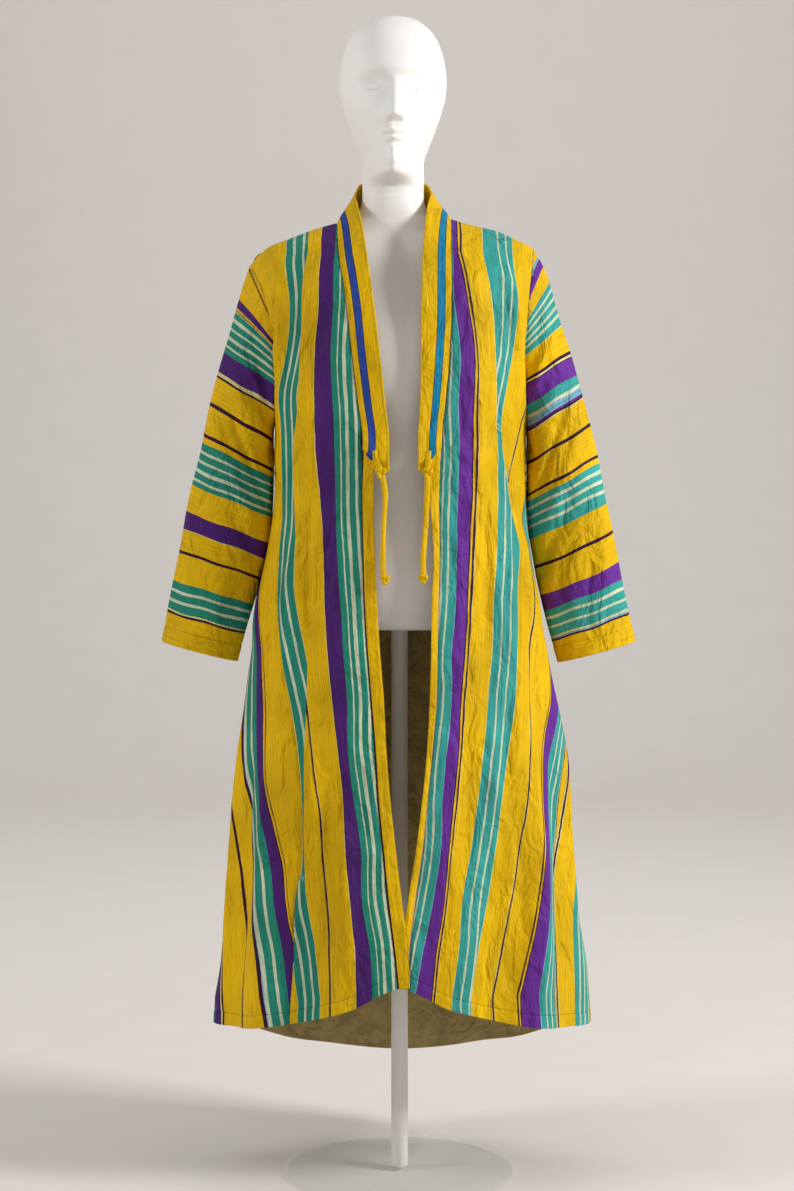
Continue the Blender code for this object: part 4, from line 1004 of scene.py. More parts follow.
def right_charts(z, across, first):
    """Where the stripes lie on the wearer's right front."""
    c = CHART_RIGHT
    a3, a4, end = first[3], first[4], first[5]
    low = from_start(3, across, a3, end)
    # The dark line comes out of the fold only at FOLD_LINE_TOP.
    plain = from_start(2, across, first[2], first[3])
    hidden = z[:, first[2] : first[3] + 1] > FOLD_LINE_TOP
    plain = np.where(hidden, np.minimum(plain, chart_at(2, FRONT_PLAIN)), plain)
    high = chart_at(3, GROUP_WIDTH + across[:, a3 : end + 1] - across[:, a4 : a4 + 1])
    tuck = z[:, a3 : end + 1]
    parts = [
        from_end(0, c[0], across, first[0], first[1]),
        stretched(1, c[1], across, first[1], first[2]),
        plain,
        np.where(tuck > RIGHT_TUCK, high, low),
    ]
    return split_sides(parts)


def left_charts(z, across, first):
    """Where the stripes lie on the wearer's left front."""
    c = CHART_LEFT

    def rows_of(k):
        return z[:, first[k] : first[k + 1] + 1]

    group_high = from_end(3, c[3], across, first[3], first[4])
    group_low = from_start(3, across, first[3], first[4])
    # The dark line to the armhole is wider than the chart has it. Where a dark line is missing, its
    # chart is read no nearer than PAST_LINE, in the yellow.
    wider = 0.8 + 0.9 * ease((rows_of(5) - 1.06) / 0.1)
    arm_line = chart_at(5, (from_start(5, across, first[5], first[6]) - chart_at(5, 0)) / wider)
    side_line = from_start(5, across, first[6], first[7])
    past = chart_at(5, PAST_LINE)
    parts = [
        from_end(0, c[0], across, first[0], first[1]),
        stretched(1, c[1], across, first[1], first[2]),
        stretched(2, c[2], across, first[2], first[3]),
        np.where(rows_of(3) > LEFT_TUCK, group_high, group_low),
        from_start(4, across, first[4], first[5]),
        np.where(rows_of(5) > LEFT_ARM_LINE, arm_line, np.maximum(arm_line, past)),
        np.where(rows_of(6) > LEFT_ARM_LINE, np.maximum(side_line, past), side_line),
        from_start(6, across, first[7], first[8]),
        from_start(7, across, first[8], first[9]),
    ]
    return split_sides(parts)


def gore(side, material, inner, cols=54):
    """A side gore: a wedge from the underarm to the hem."""
    t = np.linspace(-1, 1, cols)
    share = 0.5 + 0.5 * np.sign(t) * (1 - (1 - np.abs(t)) ** 1.5)

    def line(z):
        first = gore_turn(side, z)
        first = first - turn_gap(side, first, z, SEAM / 2)
        last = back_gore_turn(z)
        last = last + turn_gap(side, last, z, SEAM / 2)
        return first + (last - first) * share

    z = skirt_rows(hem_height(line))
    name = "gore_" + word(side)
    points, normals, across, above = body_sheet(side, line, z)
    place = across - (read(GORE_SHIFT, "shift", z) if side < 0 else 0)
    return cut(name, points, normals, place, across, above, "striped_cloth", (material, inner), CLOTH)


def neckline_end(side):
    """Where the neckline meets the shoulder ridge."""
    z = ridge_height(side, lambda height: seam_turn(side, height))
    return float(read(FRONT, "seam_" + word(side), z))


def neckline_x(side):
    """Where the back's columns meet the neckline, from its end to the centre back."""
    return neckline_end(side) * np.cos(np.linspace(0, np.pi / 2, NECK_COLUMNS + 1))


def neckline_height(side, x):
    """The height of the back neckline."""
    end = neckline_end(side)
    rise = (NECKLINE_HEIGHT - ridge(end)) * ease(1 - np.abs(x / end))
    return np.minimum(ridge(end) + rise, ridge(x))


def back_half(side, shoulder=26):
    """Half of the back, from its outer line to the centre back: its turns and heights."""
    arm_top = float(ridge_height(side, lambda z: armhole_turn(side, z)))
    arm_x = read(ARMHOLE, word(side), arm_top)
    neck = neckline_x(side)
    x = np.concatenate([np.linspace(side * arm_x, neck[0], shoulder + 1)[:-1], neck])
    top = np.where(np.abs(x) >= abs(neck[0]), ridge(x), neckline_height(side, x))
    top_turn = -np.where(np.abs(x) < 1e-6, 90, turn_at(side, x, top))
    top_share = (top_turn - top_turn[0]) / (-90 - top_turn[0])
    even = np.linspace(0, 1, len(x))
    edge = 1 - (1 - even) ** 0.92

    def line(z):
        outer = back_side_turn(side, z)
        outer = outer - turn_gap(side, outer, z, SEAM / 2)
        blend = ease((1.42 - z) / 0.28)
        share = top_share * (1 - blend) + edge * blend
        return outer + (-90 - outer) * share

    z = body_rows(top, hem_height(line))

    def turns(z):
        turn = line(z)
        turn[0] = top_turn
        turn[0, 0] -= float(turn_gap(side, top_turn[0], top[0], SEAM / 2))
        return turn

    return turns, z


def back_points(side):
    """Points, normals and measures of half of the back."""
    turns, z = back_half(side)
    points, normals, across, above = body_sheet(side, turns, z)
    on_ridge = points[0, :, 1] < 0.004
    points[0, on_ridge, 1] = SEAM / 2
    flat = normals.copy()
    level(flat)
    normals[0, on_ridge] = flat[0, on_ridge]
    normals[:, -1, 0] = 0
    normals[:, -1] = unit(normals[:, -1])
    return points, normals, across, above


def back_panel(side, material, inner):
    """One of the back's two lengths of cloth, which meet in a seam down the centre back."""
    points, normals, across, above = back_points(side)
    points[:, -1, 0] += side * SEAM / 2
    name = "back_" + word(side)
    place = across[:, -1:] - across
    return cut(name, points, normals, place, across, above, "striped_cloth", (material, inner), CLOTH)


def back_lining(material):
    """The lining inside the back: the back's own points from LINING_TOP to near the hem, moved in."""
    right, left = back_points(-1), back_points(1)
    points = np.concatenate([right[0], left[0][:, -2::-1]], axis=1)
    normals = np.concatenate([right[1], left[1][:, -2::-1]], axis=1)
    start = int(np.argmin(np.abs(points[:, 0, 2] - LINING_TOP)))
    end = HEM_ROWS.index(LINING_RISE) + 1 - len(HEM_ROWS)
    points, normals = points[start:end, 1:-1], normals[start:end, 1:-1]
    across, down = run(points, 1), run(points, 0)
    above = down[-1] - down
    give = 0.0006 * np.sin(across * 61 + 5 * np.sin(down * 9)) * np.sin(down * 37 + across * 11)
    inward = CLOTH + 2 * SEAM + (0.0006 + give) * ease(above / 0.02) * ease(down / 0.02)
    outer = points - normals * inward[..., None]
    both = (material, material)
    return cut("back_lining", outer, normals, across, across, above, "lining", both, LINING)


def armhole_loop(side, quarter):
    """The armhole's points and normals: down the front from the ridge and up the back."""
    top = ridge_height(side, lambda z: armhole_turn(side, z))
    swing = np.linspace(0, np.pi / 2, quarter + 1)
    roll = top - SHOULDER_ROLL * (1 - np.cos(swing))
    chest = UNDERARM + (roll[-1] - UNDERARM) * (1 - np.sin(swing[1:]))
    z = np.concatenate([roll, chest])
    z = np.concatenate([z, z[-2:0:-1]])
    turn = armhole_turn(side, z)
    turn[2 * quarter] = 0
    turn[2 * quarter + 1 :] *= -1
    reach = run(coat(side, turn, z)[0][:, None], 0)[:, 0]
    reach = np.minimum(reach, reach[-1] - reach)
    loop, normals = coat(side, turn, z, seam_dip(0.0) * ease(reach / TOP_FADE))
    loop[0, 1] = 0
    normals[0, 1] = 0
    normals[0] = unit(normals[0])
    loop[:, 0] += side * 2 * SEAM
    loop[2 * quarter, 2] += SEAM
    return loop, normals


def sleeve_points(side, rings=128, quarter=20):
    """A sleeve's rings from the armhole to the cuff, eased from the armhole's own loop."""
    table = SLEEVE_RIGHT if side < 0 else SLEEVE_LEFT
    tail = 1 - np.array(HEM_ROWS) / SLEEVE_LENGTH
    share = np.concatenate([np.linspace(0, 1, rings) ** 1.15 * tail[0], tail[1:]])
    steps = np.arange(len(table) - 1, dtype=float)
    at = share * steps[-1]
    lines = {n: smooth(steps, column(table, n), at) for n in SLEEVE_NAMES.split()}
    around = np.arange(4 * quarter) * np.pi / 2 / quarter
    outer = np.stack([side * lines["outer_x"], 0 * at, lines["outer_z"]], axis=-1)
    inner = np.stack([side * lines["inner_x"], 0 * at, lines["inner_z"]], axis=-1)
    centre = (outer + inner) / 2
    across = (outer - inner) / 2
    points = centre[:, None] + across[:, None] * np.cos(around)[None, :, None]
    points[:, :, 1] -= lines["half_depth"][:, None] * np.sin(around)
    loop, body_normals = armhole_loop(side, quarter)
    fade = np.clip(1 - at / ARMHOLE_ROWS, 0, 1)[:, None, None]
    points += (loop - points[0]) * fade
    return points, centre, body_normals, share, around


def sleeve_relief(side, share, around, down, above, where):
    """How far a sleeve's cloth stands out: creases, slow waves, the cuff's hem and the armhole's seam."""
    creases = crease_sum(SLEEVE_CREASES, np.degrees(around)[None], share[:, None], SLEEVE_RADIUS,
                         SLEEVE_LENGTH)
    waves = 0.0007 * np.sin(around[None] * 3 + 19 * down + side) * np.sin(24 * down + 1.0)
    lift = SLEEVE_CREASE_DEPTH * creases + waves + hem_relief(above, where, CUFF_GROOVE)
    gathers = pucker(where, down, 0.014, 0.019, 0.0006) * ease(down / 0.004)
    return lift * ease(down / 0.035) + seam_dip(down) * ease(down / 0.0012) + gathers


def sleeve_stripe_height(side, points):
    """Where the stripe through each point meets the sleeve's outer line, found step by step.

    A stripe runs down from that line towards the body at the slope that SLOPES give for its height.
    """
    table, slopes = (SLEEVE_RIGHT, SLOPES_RIGHT) if side < 0 else (SLEEVE_LEFT, SLOPES_LEFT)
    outer_z, outer_x = column(table, "outer_z")[::-1], column(table, "outer_x")[::-1]
    slope_z, slopes = column(slopes)[::-1], column(slopes, "slope")[::-1]
    height = points[..., 2].copy()
    for _ in range(40):
        line_x = np.interp(height, outer_z, outer_x)
        slope = np.radians(np.interp(height, slope_z, slopes))
        drop = np.tan(slope) * np.clip(line_x - np.abs(points[..., 0]), 0, None)
        height = 0.5 * height + 0.5 * (points[..., 2] + drop)
    return height


def sleeve(side, material, inner):
    """A sleeve: a tube from the armhole to the cuff, its rings turning from upright to level."""
    points, centre, body_normals, share, around = sleeve_points(side)
    normals = grid_normals(points, points - centre[:, None], wrap=True)
    down = run(points, 0)
    above = down[-1] - down
    where = around[None] * SLEEVE_RADIUS + 0 * down
    lift = sleeve_relief(side, share, around, down, above, where)
    points = points + normals * lift[..., None]
    normals = grid_normals(points, points - centre[:, None], wrap=True)
    beyond = normals[0, :, 0] * side > body_normals[:, 0] * side
    normals[0, beyond] = body_normals[beyond]
    wave = 0.0016 * np.sin(points[..., 0] * 70 + 3.0 * side) * np.sin(down * 17)
    across = SLEEVE_CHART_TOP - sleeve_stripe_height(side, points) + wave
    place = np.stack([chart_at(0, across), where], axis=-1)
    nxt = np.roll(place, -1, axis=1)
    nxt[:, -1, 1] = 2 * place[:, -1, 1] - place[:, -2, 1]
    trim = np.stack([above, where], axis=-1)
    name = "sleeve_" + word(side)
    full = turned_edge(above, CLOTH)
    made = shell(name, points, normals, CLOTH, place, nxt, trim, full, wrap=True)
    return dress(made, points, "striped_cloth", (material, inner), name)


def edge_strip(side, material, cols=15):
    """The narrow strip along a front edge, from the neckband's end to the hem."""
    share = np.sort(np.append(np.linspace(0, 1, cols)[:-1] ** 0.75, STRIP_EDGE_COLUMNS))

    def line(z):
        first = seam_turn(side, z)
        first = first + turn_gap(side, first, z, SEAM / 2)
        return first + (seam_turn(side, z, "edge_") - first) * share

    z = skirt_rows(hem_height(line))
    step = np.linspace(1, 0, len(z))[:, None]
    z -= (BAND_SLANT * share + 2 * SEAM) * step
    turn = line(z)
    points, _ = coat(side, turn, z)
    across, down = run(points, 1), run(points, 0)
    above = down[-1] - down
    edge = across[:, -1:] - across
    lift = seam_dip(across) + pucker(down, across, 0.012, 0.015, 0.0006)
    lift = lift + 0.0007 * ease(1 - np.abs(edge - 0.004) / 0.006)
    lift = lift + pucker(down, edge, 0.01, 0.029, 0.0004)
    lift = lift - 0.0006 * bell(above - STRIP_STITCHES, 0.0012)
    lift = lift - 0.0005 * bell(above - STRIP_UPPER_STITCHES, 0.0012)
    points, guide = coat(side, turn, z, lift)
    normals = grid_normals(points, guide)
    name = "edge_strip_" + word(side)
    full = np.minimum(turned_edge(edge, CLOTH), turned_edge(above, CLOTH))
    both = (material, material)
    return cut(name, points, normals, across, across, above, "edge_cloth", both, CLOTH, full)


def band_half(side):
    """Half of the neckband: points from its lower end up the front and round to the centre back."""
    table = BAND_RIGHT if side < 0 else BAND_LEFT
    top = ridge_height(side, lambda z: seam_turn(side, z) + 0 * z)
    low = UNDERARM + (float(hem_height(lambda z: seam_turn(side, z))) - UNDERARM) * GORE_START
    swing_down = np.linspace(np.pi / 2, 0, 23)
    roll = top - SHOULDER_ROLL * (1 - np.cos(swing_down))
    chest = low + (roll[0] - low) * np.linspace(0, 1, 29)[:-1]
    along = np.concatenate([chest, roll])
    seam = coat(side, seam_turn(side, along), along)[0]
    seam[-1, 1] = 0
    edge = np.stack([read(table, "edge_" + axis, along) for axis in "xyz"], axis=-1)
    x = neckline_x(side)[1:]
    height = neckline_height(side, x)
    turn = -np.where(np.abs(x) < 1e-6, 90, turn_at(side, x, height))
    back_seam = coat(side, turn, height)[0]
    swing = np.linspace(0, np.pi / 2, NECK_COLUMNS + 1)[1:]
    share = swing / (np.pi / 2)
    side_x, side_y, side_z = edge[-1]
    stand_x = NECK_X + (side_x - NECK_X) * np.cos(swing)
    stand_y = side_y + (STAND_DEPTH - side_y) * np.sin(swing)
    stand_z = side_z + (STAND_TOP - side_z) * ease(share * 2.8) - STAND_DIP * ease(share * 2 - 1)
    seam = np.concatenate([seam, back_seam])
    edge = np.concatenate([edge, np.stack([stand_x, stand_y, stand_z], axis=-1)])
    seam = seam + unit(edge - seam) * 2 * SEAM
    step = np.array(BAND_COLUMNS)[None, :, None]
    return seam[:, None] * (1 - step) + edge[:, None] * step


def tab(points, reach, middle):
    """The rounded lower end of half of the band: its first row carried on, furthest at middle."""
    way = unit(points[0] - points[2])
    share = run(points[:1], 1)[0]
    share /= share[-1]
    far = reach * np.clip(1 - np.abs((share - middle) / 0.62) ** 2.2, 0.06, 1)
    step = np.linspace(1, 0, TAB_ROWS + 1)[:-1, None, None]
    return points[0] + way * far[:, None] * step


def neckband(material):
    """The neckband, in one piece round the neck and down both fronts, its ends over the ties'."""
    right, left = band_half(-1), band_half(1)
    right = np.concatenate([tab(right, 0.025, 0.6), right])
    left = np.concatenate([tab(left, 0.016, 0.72), left])
    proud = np.clip(1 - (np.arange(len(right)) - TAB_ROWS) / 5, 0, 1.6)
    proud = TAB_LIFT * ease(proud) * (1 - 0.5 * ease((proud - 1.3) / 0.3))
    points = np.concatenate([right, left[-2::-1]])
    proud = np.concatenate([proud, proud[-2::-1]])[:, None]
    normals = unit(np.cross(np.gradient(points, axis=0), np.gradient(points, axis=1)))
    # Just above its lower end the band lies on the chest, so its outside looks forwards there.
    normals *= -np.sign(normals[TAB_ROWS + 4, 1, 1])
    across, down = run(points, 1), run(points, 0)
    edge = across[:, -1:] - across
    ends = np.minimum(down, down[-1:] - down)
    lift = seam_dip(across) * 0.8 + pucker(down, across, 0.012, 0.018, 0.0005)
    lift = lift - 0.0005 * bell(edge - BAND_STITCHES, 0.0011)
    lift = lift + 0.0006 * np.sin(down * 43 + 2 * np.sin(down * 17)) * (across / across[:, -1:]) ** 2
    lift = lift * ease(ends / 0.01) + proud
    points = points + normals * lift[..., None]
    normals = grid_normals(points, normals)
    order = np.arange(len(points))[:, None]
    tip = np.minimum(order, order[::-1]) < TIP_ROWS
    half = order >= len(points) // 2
    place = chart_at(half * 1, np.where(tip, BAND_PLAIN, across))
    full = np.minimum(turned_edge(edge, BAND), turned_edge(ends, BAND))
    both = (material, material)
    return cut("neckband", points, normals, place, down, edge, "band_cloth", both, BAND, full)


# ---------------- ties

FAR_FROM_HEMS = 0.5      # what a piece without a hem has on its trim map
TIE_SIDES = 20           # faces round a tie
KNOT_RISE = 0.006        # the end's knot sits this far above the end of the tie's line
ROOT_KNOT = 0.17         # where along a tie its upper knot sits
ROOT_KNOT_SIZE = 1.3     # how much larger that one is
KNOT_THREAD = 0.0031     # radius of the soft tube that a knot is tied from


def tube(name, path, radius, sides=TIE_SIDES, twist=0.0):
    """A closed tube: rings of the given radii square to the path, in a frame carried along it."""
    points = np.asarray(path, float)
    way = unit(np.gradient(points, axis=0))
    side_way = unit(np.cross(way, np.array([0.13, 0.97, 0.21])))
    up_way = np.cross(way, side_way)
    around = np.arange(sides) * 2 * np.pi / sides
    long = run(points[:, None], 0)[:, 0]
    turned = around[None] + twist * long[:, None]
    radius = np.asarray(radius, float)
    if radius.ndim == 1:
        radius = radius[:, None] + 0 * turned
    rings = (
        points[:, None]
        + (np.cos(turned) * radius)[..., None] * side_way[:, None]
        + (np.sin(turned) * radius)[..., None] * up_way[:, None]
    )
    made = closed_loft(name, rings)
    girth = np.append(around, 2 * np.pi) * float(np.mean(radius))
    side_u = np.stack([girth[:-1], girth[1:], girth[1:], girth[:-1]], axis=-1)
    side_v = np.stack([long[:-1], long[:-1], long[1:], long[1:]], axis=-1)
    cloth = np.zeros((len(made.data.loops), 2))
    cloth[: 4 * side_v.shape[0] * sides] = np.stack(
        np.broadcast_arrays(side_u[None], side_v[:, None]), axis=-1
    ).reshape(-1, 2)
    uv_map(made.data, "cloth", cloth)
    uv_map(made.data, "trim", cloth * 0 + FAR_FROM_HEMS)
    return made


def tie_route(side, count=90):
    """Points evenly spaced along a tie's line."""
    table = TIE_RIGHT if side < 0 else TIE_LEFT
    keys = np.arange(len(table) - 1, dtype=float)
    fine = np.linspace(0, keys[-1], 400)
    route = np.stack([smooth(keys, column(table, axis), fine) for axis in "xyz"], axis=-1)
    long = run(route[:, None], 0)[:, 0]
    at = np.linspace(0, long[-1], count)
    return np.stack([np.interp(at, long, route[:, k]) for k in range(3)], axis=-1), long[-1]


def tie(side, material):
    """A strip of cloth sewn into a soft tube, pinched here and there, with a knot at its end."""
    route, length = tie_route(side)
    at = np.linspace(0, length, len(route))
    around = np.arange(TIE_SIDES) * 2 * np.pi / TIE_SIDES
    pinch = 1 - 0.09 * bell(at[:, None] % 0.037 - 0.018, 0.006)
    flat = 1 + 0.1 * np.cos(2 * around[None] + 20 * at[:, None] + side)
    fold = 1 - 0.13 * bell(around[None] - 2.0, 0.3)
    radius = TIE_RADIUS * 0.97 * pinch * flat * fold
    radius[-1] *= 0.4
    name = "tie_" + word(side)
    made = tube(name, route, radius, twist=9.0 * side)
    knot = tie_knot(side, route[-1] + np.array([0, 0, KNOT_RISE]), material)
    root = tie_knot(side, route[int(len(route) * ROOT_KNOT)], material, "root", ROOT_KNOT_SIZE)
    return carry(made, [material], "tie_cloth", name)


def tie_knot(side, centre, material, place="end", size=1.0):
    """An overhand knot: a trefoil line pulled small, with a thick soft tube round it."""
    t = np.linspace(0, 2 * np.pi, 121)[:-1] + 0.4 * side
    wide = TIE_KNOT_RADIUS * 0.62 * size
    line = np.stack(
        [
            (np.sin(t) + 1.55 * np.sin(2 * t)) * wide / 2.2,
            -0.85 * np.sin(3 * t) * wide / 1.9,
            (np.cos(t) - 1.55 * np.cos(2 * t)) * wide / 1.9,
        ],
        axis=-1,
    )
    line = np.concatenate([line, line[:2]])
    name = f"tie_{place}_knot_" + word(side)
    made = tube(name, line + centre, np.full(len(line), KNOT_THREAD), sides=16)
    return carry(made, [material], "tie_cloth")


# ---------------- dress form and stand


def form_rows():
    """The form's table from the hip to the crown, the shoulders worked out from the ridge."""
    carried = []
    for half in CARRIED_SHOULDER:
        height = float(ridge(half)) - FORM_CLEARANCE
        carried.append((height, half, SHOULDER_DEPTH, SHOULDER_DEPTH, 2.0, 0.0))
    return (FORM_NAMES,) + TORSO + tuple(carried) + NECK


def mound(x, z, at_x, at_z, wide, high):
    """A soft round bump of height 1 with the given half width and half height."""
    return bell(x - at_x, wide) * bell(z - at_z, high)


def face_relief(x, z):
    """A calm mannequin's face as relief over the smooth head: positive stands out.

    The nose is a wedge from bridge to tip, the sockets are hollows with the closed lids' bulges in
    them, and lips, brow, cheeks and chin are soft mounds with grooves between them.
    """
    x = x - FACE_X
    grow = ease((NOSE_BRIDGE - z) / (NOSE_BRIDGE - NOSE_TIP))
    drop = ease((z - NOSE_BASE) / (NOSE_TIP - NOSE_BASE))
    wide = 0.0075 + 0.0065 * grow
    relief = NOSE_RISE * (0.25 * ease((NOSE_BRIDGE + 0.02 - z) / 0.02) + 0.75 * grow) * drop
    relief = relief * bell(x, wide)
    for rise, at_x, *rest in FACE_MIDDLE:
        relief = relief + rise * mound(x, z, at_x, *rest)
    mouth = MOUTH - 0.0012 * np.cos(x * 260)
    relief = relief - 0.0034 * bell(z - mouth, 0.0013) * ease((0.0215 - np.abs(x)) / 0.006)
    for sign in (-1, 1):
        for rise, at_x, *rest in FACE_SIDE:
            relief = relief + rise * mound(x, z, at_x * sign, *rest)
        from_eye = x - EYE_APART * sign
        near = ease((0.019 - np.abs(from_eye)) / 0.005)
        lid = LID_LINE + 0.005 * (from_eye / 0.016) ** 2
        crease = SOCKET_CREASE - 0.006 * (from_eye / 0.018) ** 2
        relief = relief - (0.0019 * bell(z - lid, 0.0012) + 0.0013 * bell(z - crease, 0.0016)) * near
    return relief


def form(material, cols=144):
    """The dress form: one closed loft from the pole's socket over the torso to the crown."""
    rows = form_rows()
    crown = column(rows)[-1]
    heights = np.concatenate(
        [
            np.linspace(FORM_BOTTOM, FORM_BOTTOM + 0.025, 8),
            np.linspace(FORM_BOTTOM + 0.025, 1.44, 66)[1:],
            np.linspace(1.44, 1.54, 46)[1:],
            np.linspace(1.54, 1.7, 112)[1:],
            1.7 + (crown - 1.7) * np.sin(np.linspace(0, np.pi / 2, 28))[1:],
        ]
    )
    around = np.radians(np.arange(cols) * 360 / cols)
    # Below the chin each line is an average over a few millimetres, so that neck and chest flow.
    soft = 0.012 * ease((1.515 - heights) / 0.02) * ease((heights - 1.3) / 0.05)
    lines = {
        name: sum(read(rows, name, heights + soft * k) for k in (-1, -0.5, 0, 0.5, 1))[:, None] / 5
        for name in FORM_NAMES.split()[1:]
    }
    s = np.sin(around)[None]
    c = np.cos(around)[None]
    power = 2 / np.where(s > 0, lines["point"], np.maximum(lines["point"], 2))
    x = lines["half_width"] * np.sign(c) * np.abs(c) ** power + NECK_X * lines["shift"]
    y = -np.sign(s) * np.where(s > 0, lines["front"], lines["back"]) * np.abs(s) ** power
    z = np.broadcast_to(heights[:, None], x.shape)
    y = y - face_relief(x - NECK_X, z) * ease(s / 0.35)
    rings = np.stack([x, y, z], axis=-1)
    socket = POLE_RADIUS + POLE_CLEARANCE
    bore = [
        np.stack([socket * np.cos(around), -socket * np.sin(around), 0 * around + h], axis=-1)
        for h in (FORM_BOTTOM + POLE_SOCKET, FORM_BOTTOM)
    ]
    made = closed_loft("form", np.concatenate([np.array(bore), rings]))
    return carry(made, [material], "form_shell", "form")


def closed_loft(name, rings):
    """A closed skin over a stack of rings, its first and last ring filled with a fan."""
    count, sides = rings.shape[0] * rings.shape[1], rings.shape[1]
    index = np.arange(count).reshape(-1, sides)
    nxt = np.roll(index, -1, axis=1)
    quads = np.stack([index[:-1], nxt[:-1], nxt[1:], index[1:]], axis=-1).reshape(-1, 4)
    middle = np.stack([rings[0].mean(axis=0), rings[-1].mean(axis=0)])
    first = np.stack([nxt[0], index[0], np.full(sides, count)], axis=-1)
    last = np.stack([index[-1], nxt[-1], np.full(sides, count + 1)], axis=-1)
    points = np.concatenate([rings.reshape(-1, 3), middle])
    faces = quads.tolist() + first.tolist() + last.tolist()
    mesh = bpy.data.meshes.new(name)
    mesh.from_pydata(points.tolist(), [], faces)
    mesh.update()
    volume = np.sum(np.cross(points[quads[:, 0]], points[quads[:, 1]]) * points[quads[:, 2]])
    if volume < 0:
        mesh.flip_normals()
    return placed(name, mesh, SHARP_SOLID)


def turned(name, profile, sides=128):
    """A solid of revolution round the pole's axis: a closed loft of a profile of (radius, height)."""
    profile = np.asarray(profile, float)
    around = np.arange(sides) * 2 * np.pi / sides
    rings = np.stack(
        [profile[:, :1] * np.cos(around), profile[:, :1] * np.sin(around), profile[:, 1:] + 0 * around],
        axis=-1,
    )
    return closed_loft(name, rings)


def pole(material):
    """The round pole, with a small chamfer at its top and bottom."""
    low = FOOT_THICKNESS + POLE_CLEARANCE
    high = FORM_BOTTOM + POLE_SOCKET - POLE_CLEARANCE
    edge = 0.0008
    made = turned(
        "pole",
        [
            (POLE_RADIUS - edge, low), (POLE_RADIUS, low + edge), (POLE_RADIUS, low + 0.1),
            (POLE_RADIUS, high - 0.1), (POLE_RADIUS, high - edge), (POLE_RADIUS - edge, high),
        ],
        64,
    )
    return carry(made, [material], "pole_metal", "pole")


def foot(material):
    """The round glass plate, its rim ground and polished to a half round."""
    swing = np.linspace(-np.pi / 2, np.pi / 2, 9)
    half = FOOT_THICKNESS / 2
    rim = np.stack([FOOT_RADIUS - half + half * np.cos(swing), half + half * np.sin(swing)], axis=-1)
    inside = [(0.02, 0.0), (FOOT_RADIUS * 0.6, 0.0)]
    over = [(FOOT_RADIUS * 0.6, FOOT_THICKNESS), (0.02, FOOT_THICKNESS)]
    made = turned("foot", np.concatenate([inside, rim, over]))
    return carry(made, [material], "foot_glass", "foot")


# ---------------- materials

RAMP_STOPS = 30          # Blender's limit is 32 stops on a ramp


def linear(code):
    """An sRGB hex colour as linear RGBA."""
    part = np.array([int(code[i : i + 2], 16) for i in (1, 3, 5)]) / 255
    part = np.where(part <= 0.04045, part / 12.92, ((part + 0.055) / 1.055) ** 2.4)
    return (*part.tolist(), 1.0)


def feed(tree, node, inputs):
    """Sets a node's inputs, each to a value, to an output or to another node's first output."""
    for key, value in inputs.items():
        value = value.outputs[0] if isinstance(value, bpy.types.Node) else value
        if isinstance(value, bpy.types.NodeSocket):
            tree.links.new(value, node.inputs[key])
        else:
            node.inputs[key].default_value = value


def add(tree, kind, inputs=None, **settings):
    """Adds a shader node with its settings and inputs."""
    made = tree.nodes.new("ShaderNode" + kind)
    for name, value in settings.items():
        setattr(made, name, value)
    feed(tree, made, inputs or {})
    return made


def maths(tree, operation, *values):
    """A sum, product or other reckoning with values, outputs or nodes."""
    return add(tree, "Math", dict(enumerate(values)), operation=operation)


def remap(tree, value, low, high, to_low, to_high):
    """A value carried from one range over to another, and kept within it."""
    return add(tree, "MapRange", {0: value, 1: low, 2: high, 3: to_low, 4: to_high})


def noise(tree, vector, scale, detail, distortion=0.0):
    """Cloudy noise over a vector that is multiplied by scale."""
    inputs = {"Vector": vector, "Scale": scale, "Detail": detail, "Distortion": distortion}
    return add(tree, "TexNoise", inputs)


def blank(name):
    """A new material with a shader and an output, and its node tree."""
    made = bpy.data.materials.new(name)
    made.use_nodes = True
    tree = made.node_tree
    tree.nodes.clear()
    shader = add(tree, "BsdfPrincipled")
    add(tree, "OutputMaterial", {"Surface": shader})
    return made, tree, shader


def palette():
    """The cloth's dyed colours by name, from the settings."""
    dyes = bpy.context.scene.chapan_cloth
    return {name: tuple(getattr(dyes, name)) + (1.0,) for name in DYES}


def chart_colour(tree, place, charts, dyes):
    """The colour at a place on the charts: a ramp with hard stops for each chart.

    A chart with more than RAMP_STOPS stripes is continued on a second ramp, and each next ramp
    takes over where its range begins.
    """
    result = None
    for number, chart in enumerate(charts):
        start = number * CHART_STEP
        at, stops = 0.0, []
        for name, width in chart:
            stops.append((at / 1000, dyes[name]))
            at += width
        for k in range(0, len(stops), RAMP_STOPS):
            part = stops[k : k + RAMP_STOPS]
            low = part[0][0] - (CHART_MARGIN if k == 0 else 0)
            high = low + max(part[-1][0] - low, 0.05) * 1.02
            local = remap(tree, place, start + low, start + high, 0.0, 1.0)
            ramp = add(tree, "ValToRGB", {"Fac": local})
            ramp.color_ramp.interpolation = "CONSTANT"
            for i, (where, colour) in enumerate(part):
                spot = (where - low) / (high - low) if i else 0.0
                stop = ramp.color_ramp.elements[0] if i == 0 else ramp.color_ramp.elements.new(spot)
                stop.color = colour
            # A new ramp comes with a second stop at its end, which takes the last colour.
            for stop in ramp.color_ramp.elements:
                if stop.position > 0.9999:
                    stop.color = part[-1][1]
            if result is None:
                result = ramp.outputs[0]
                continue
            past = maths(tree, "GREATER_THAN", place, start + low - (1e-5 if k == 0 else 0))
            result = add(tree, "Mix", {"Factor": past, 6: result, 7: ramp}, data_type="RGBA").outputs[2]
    return result


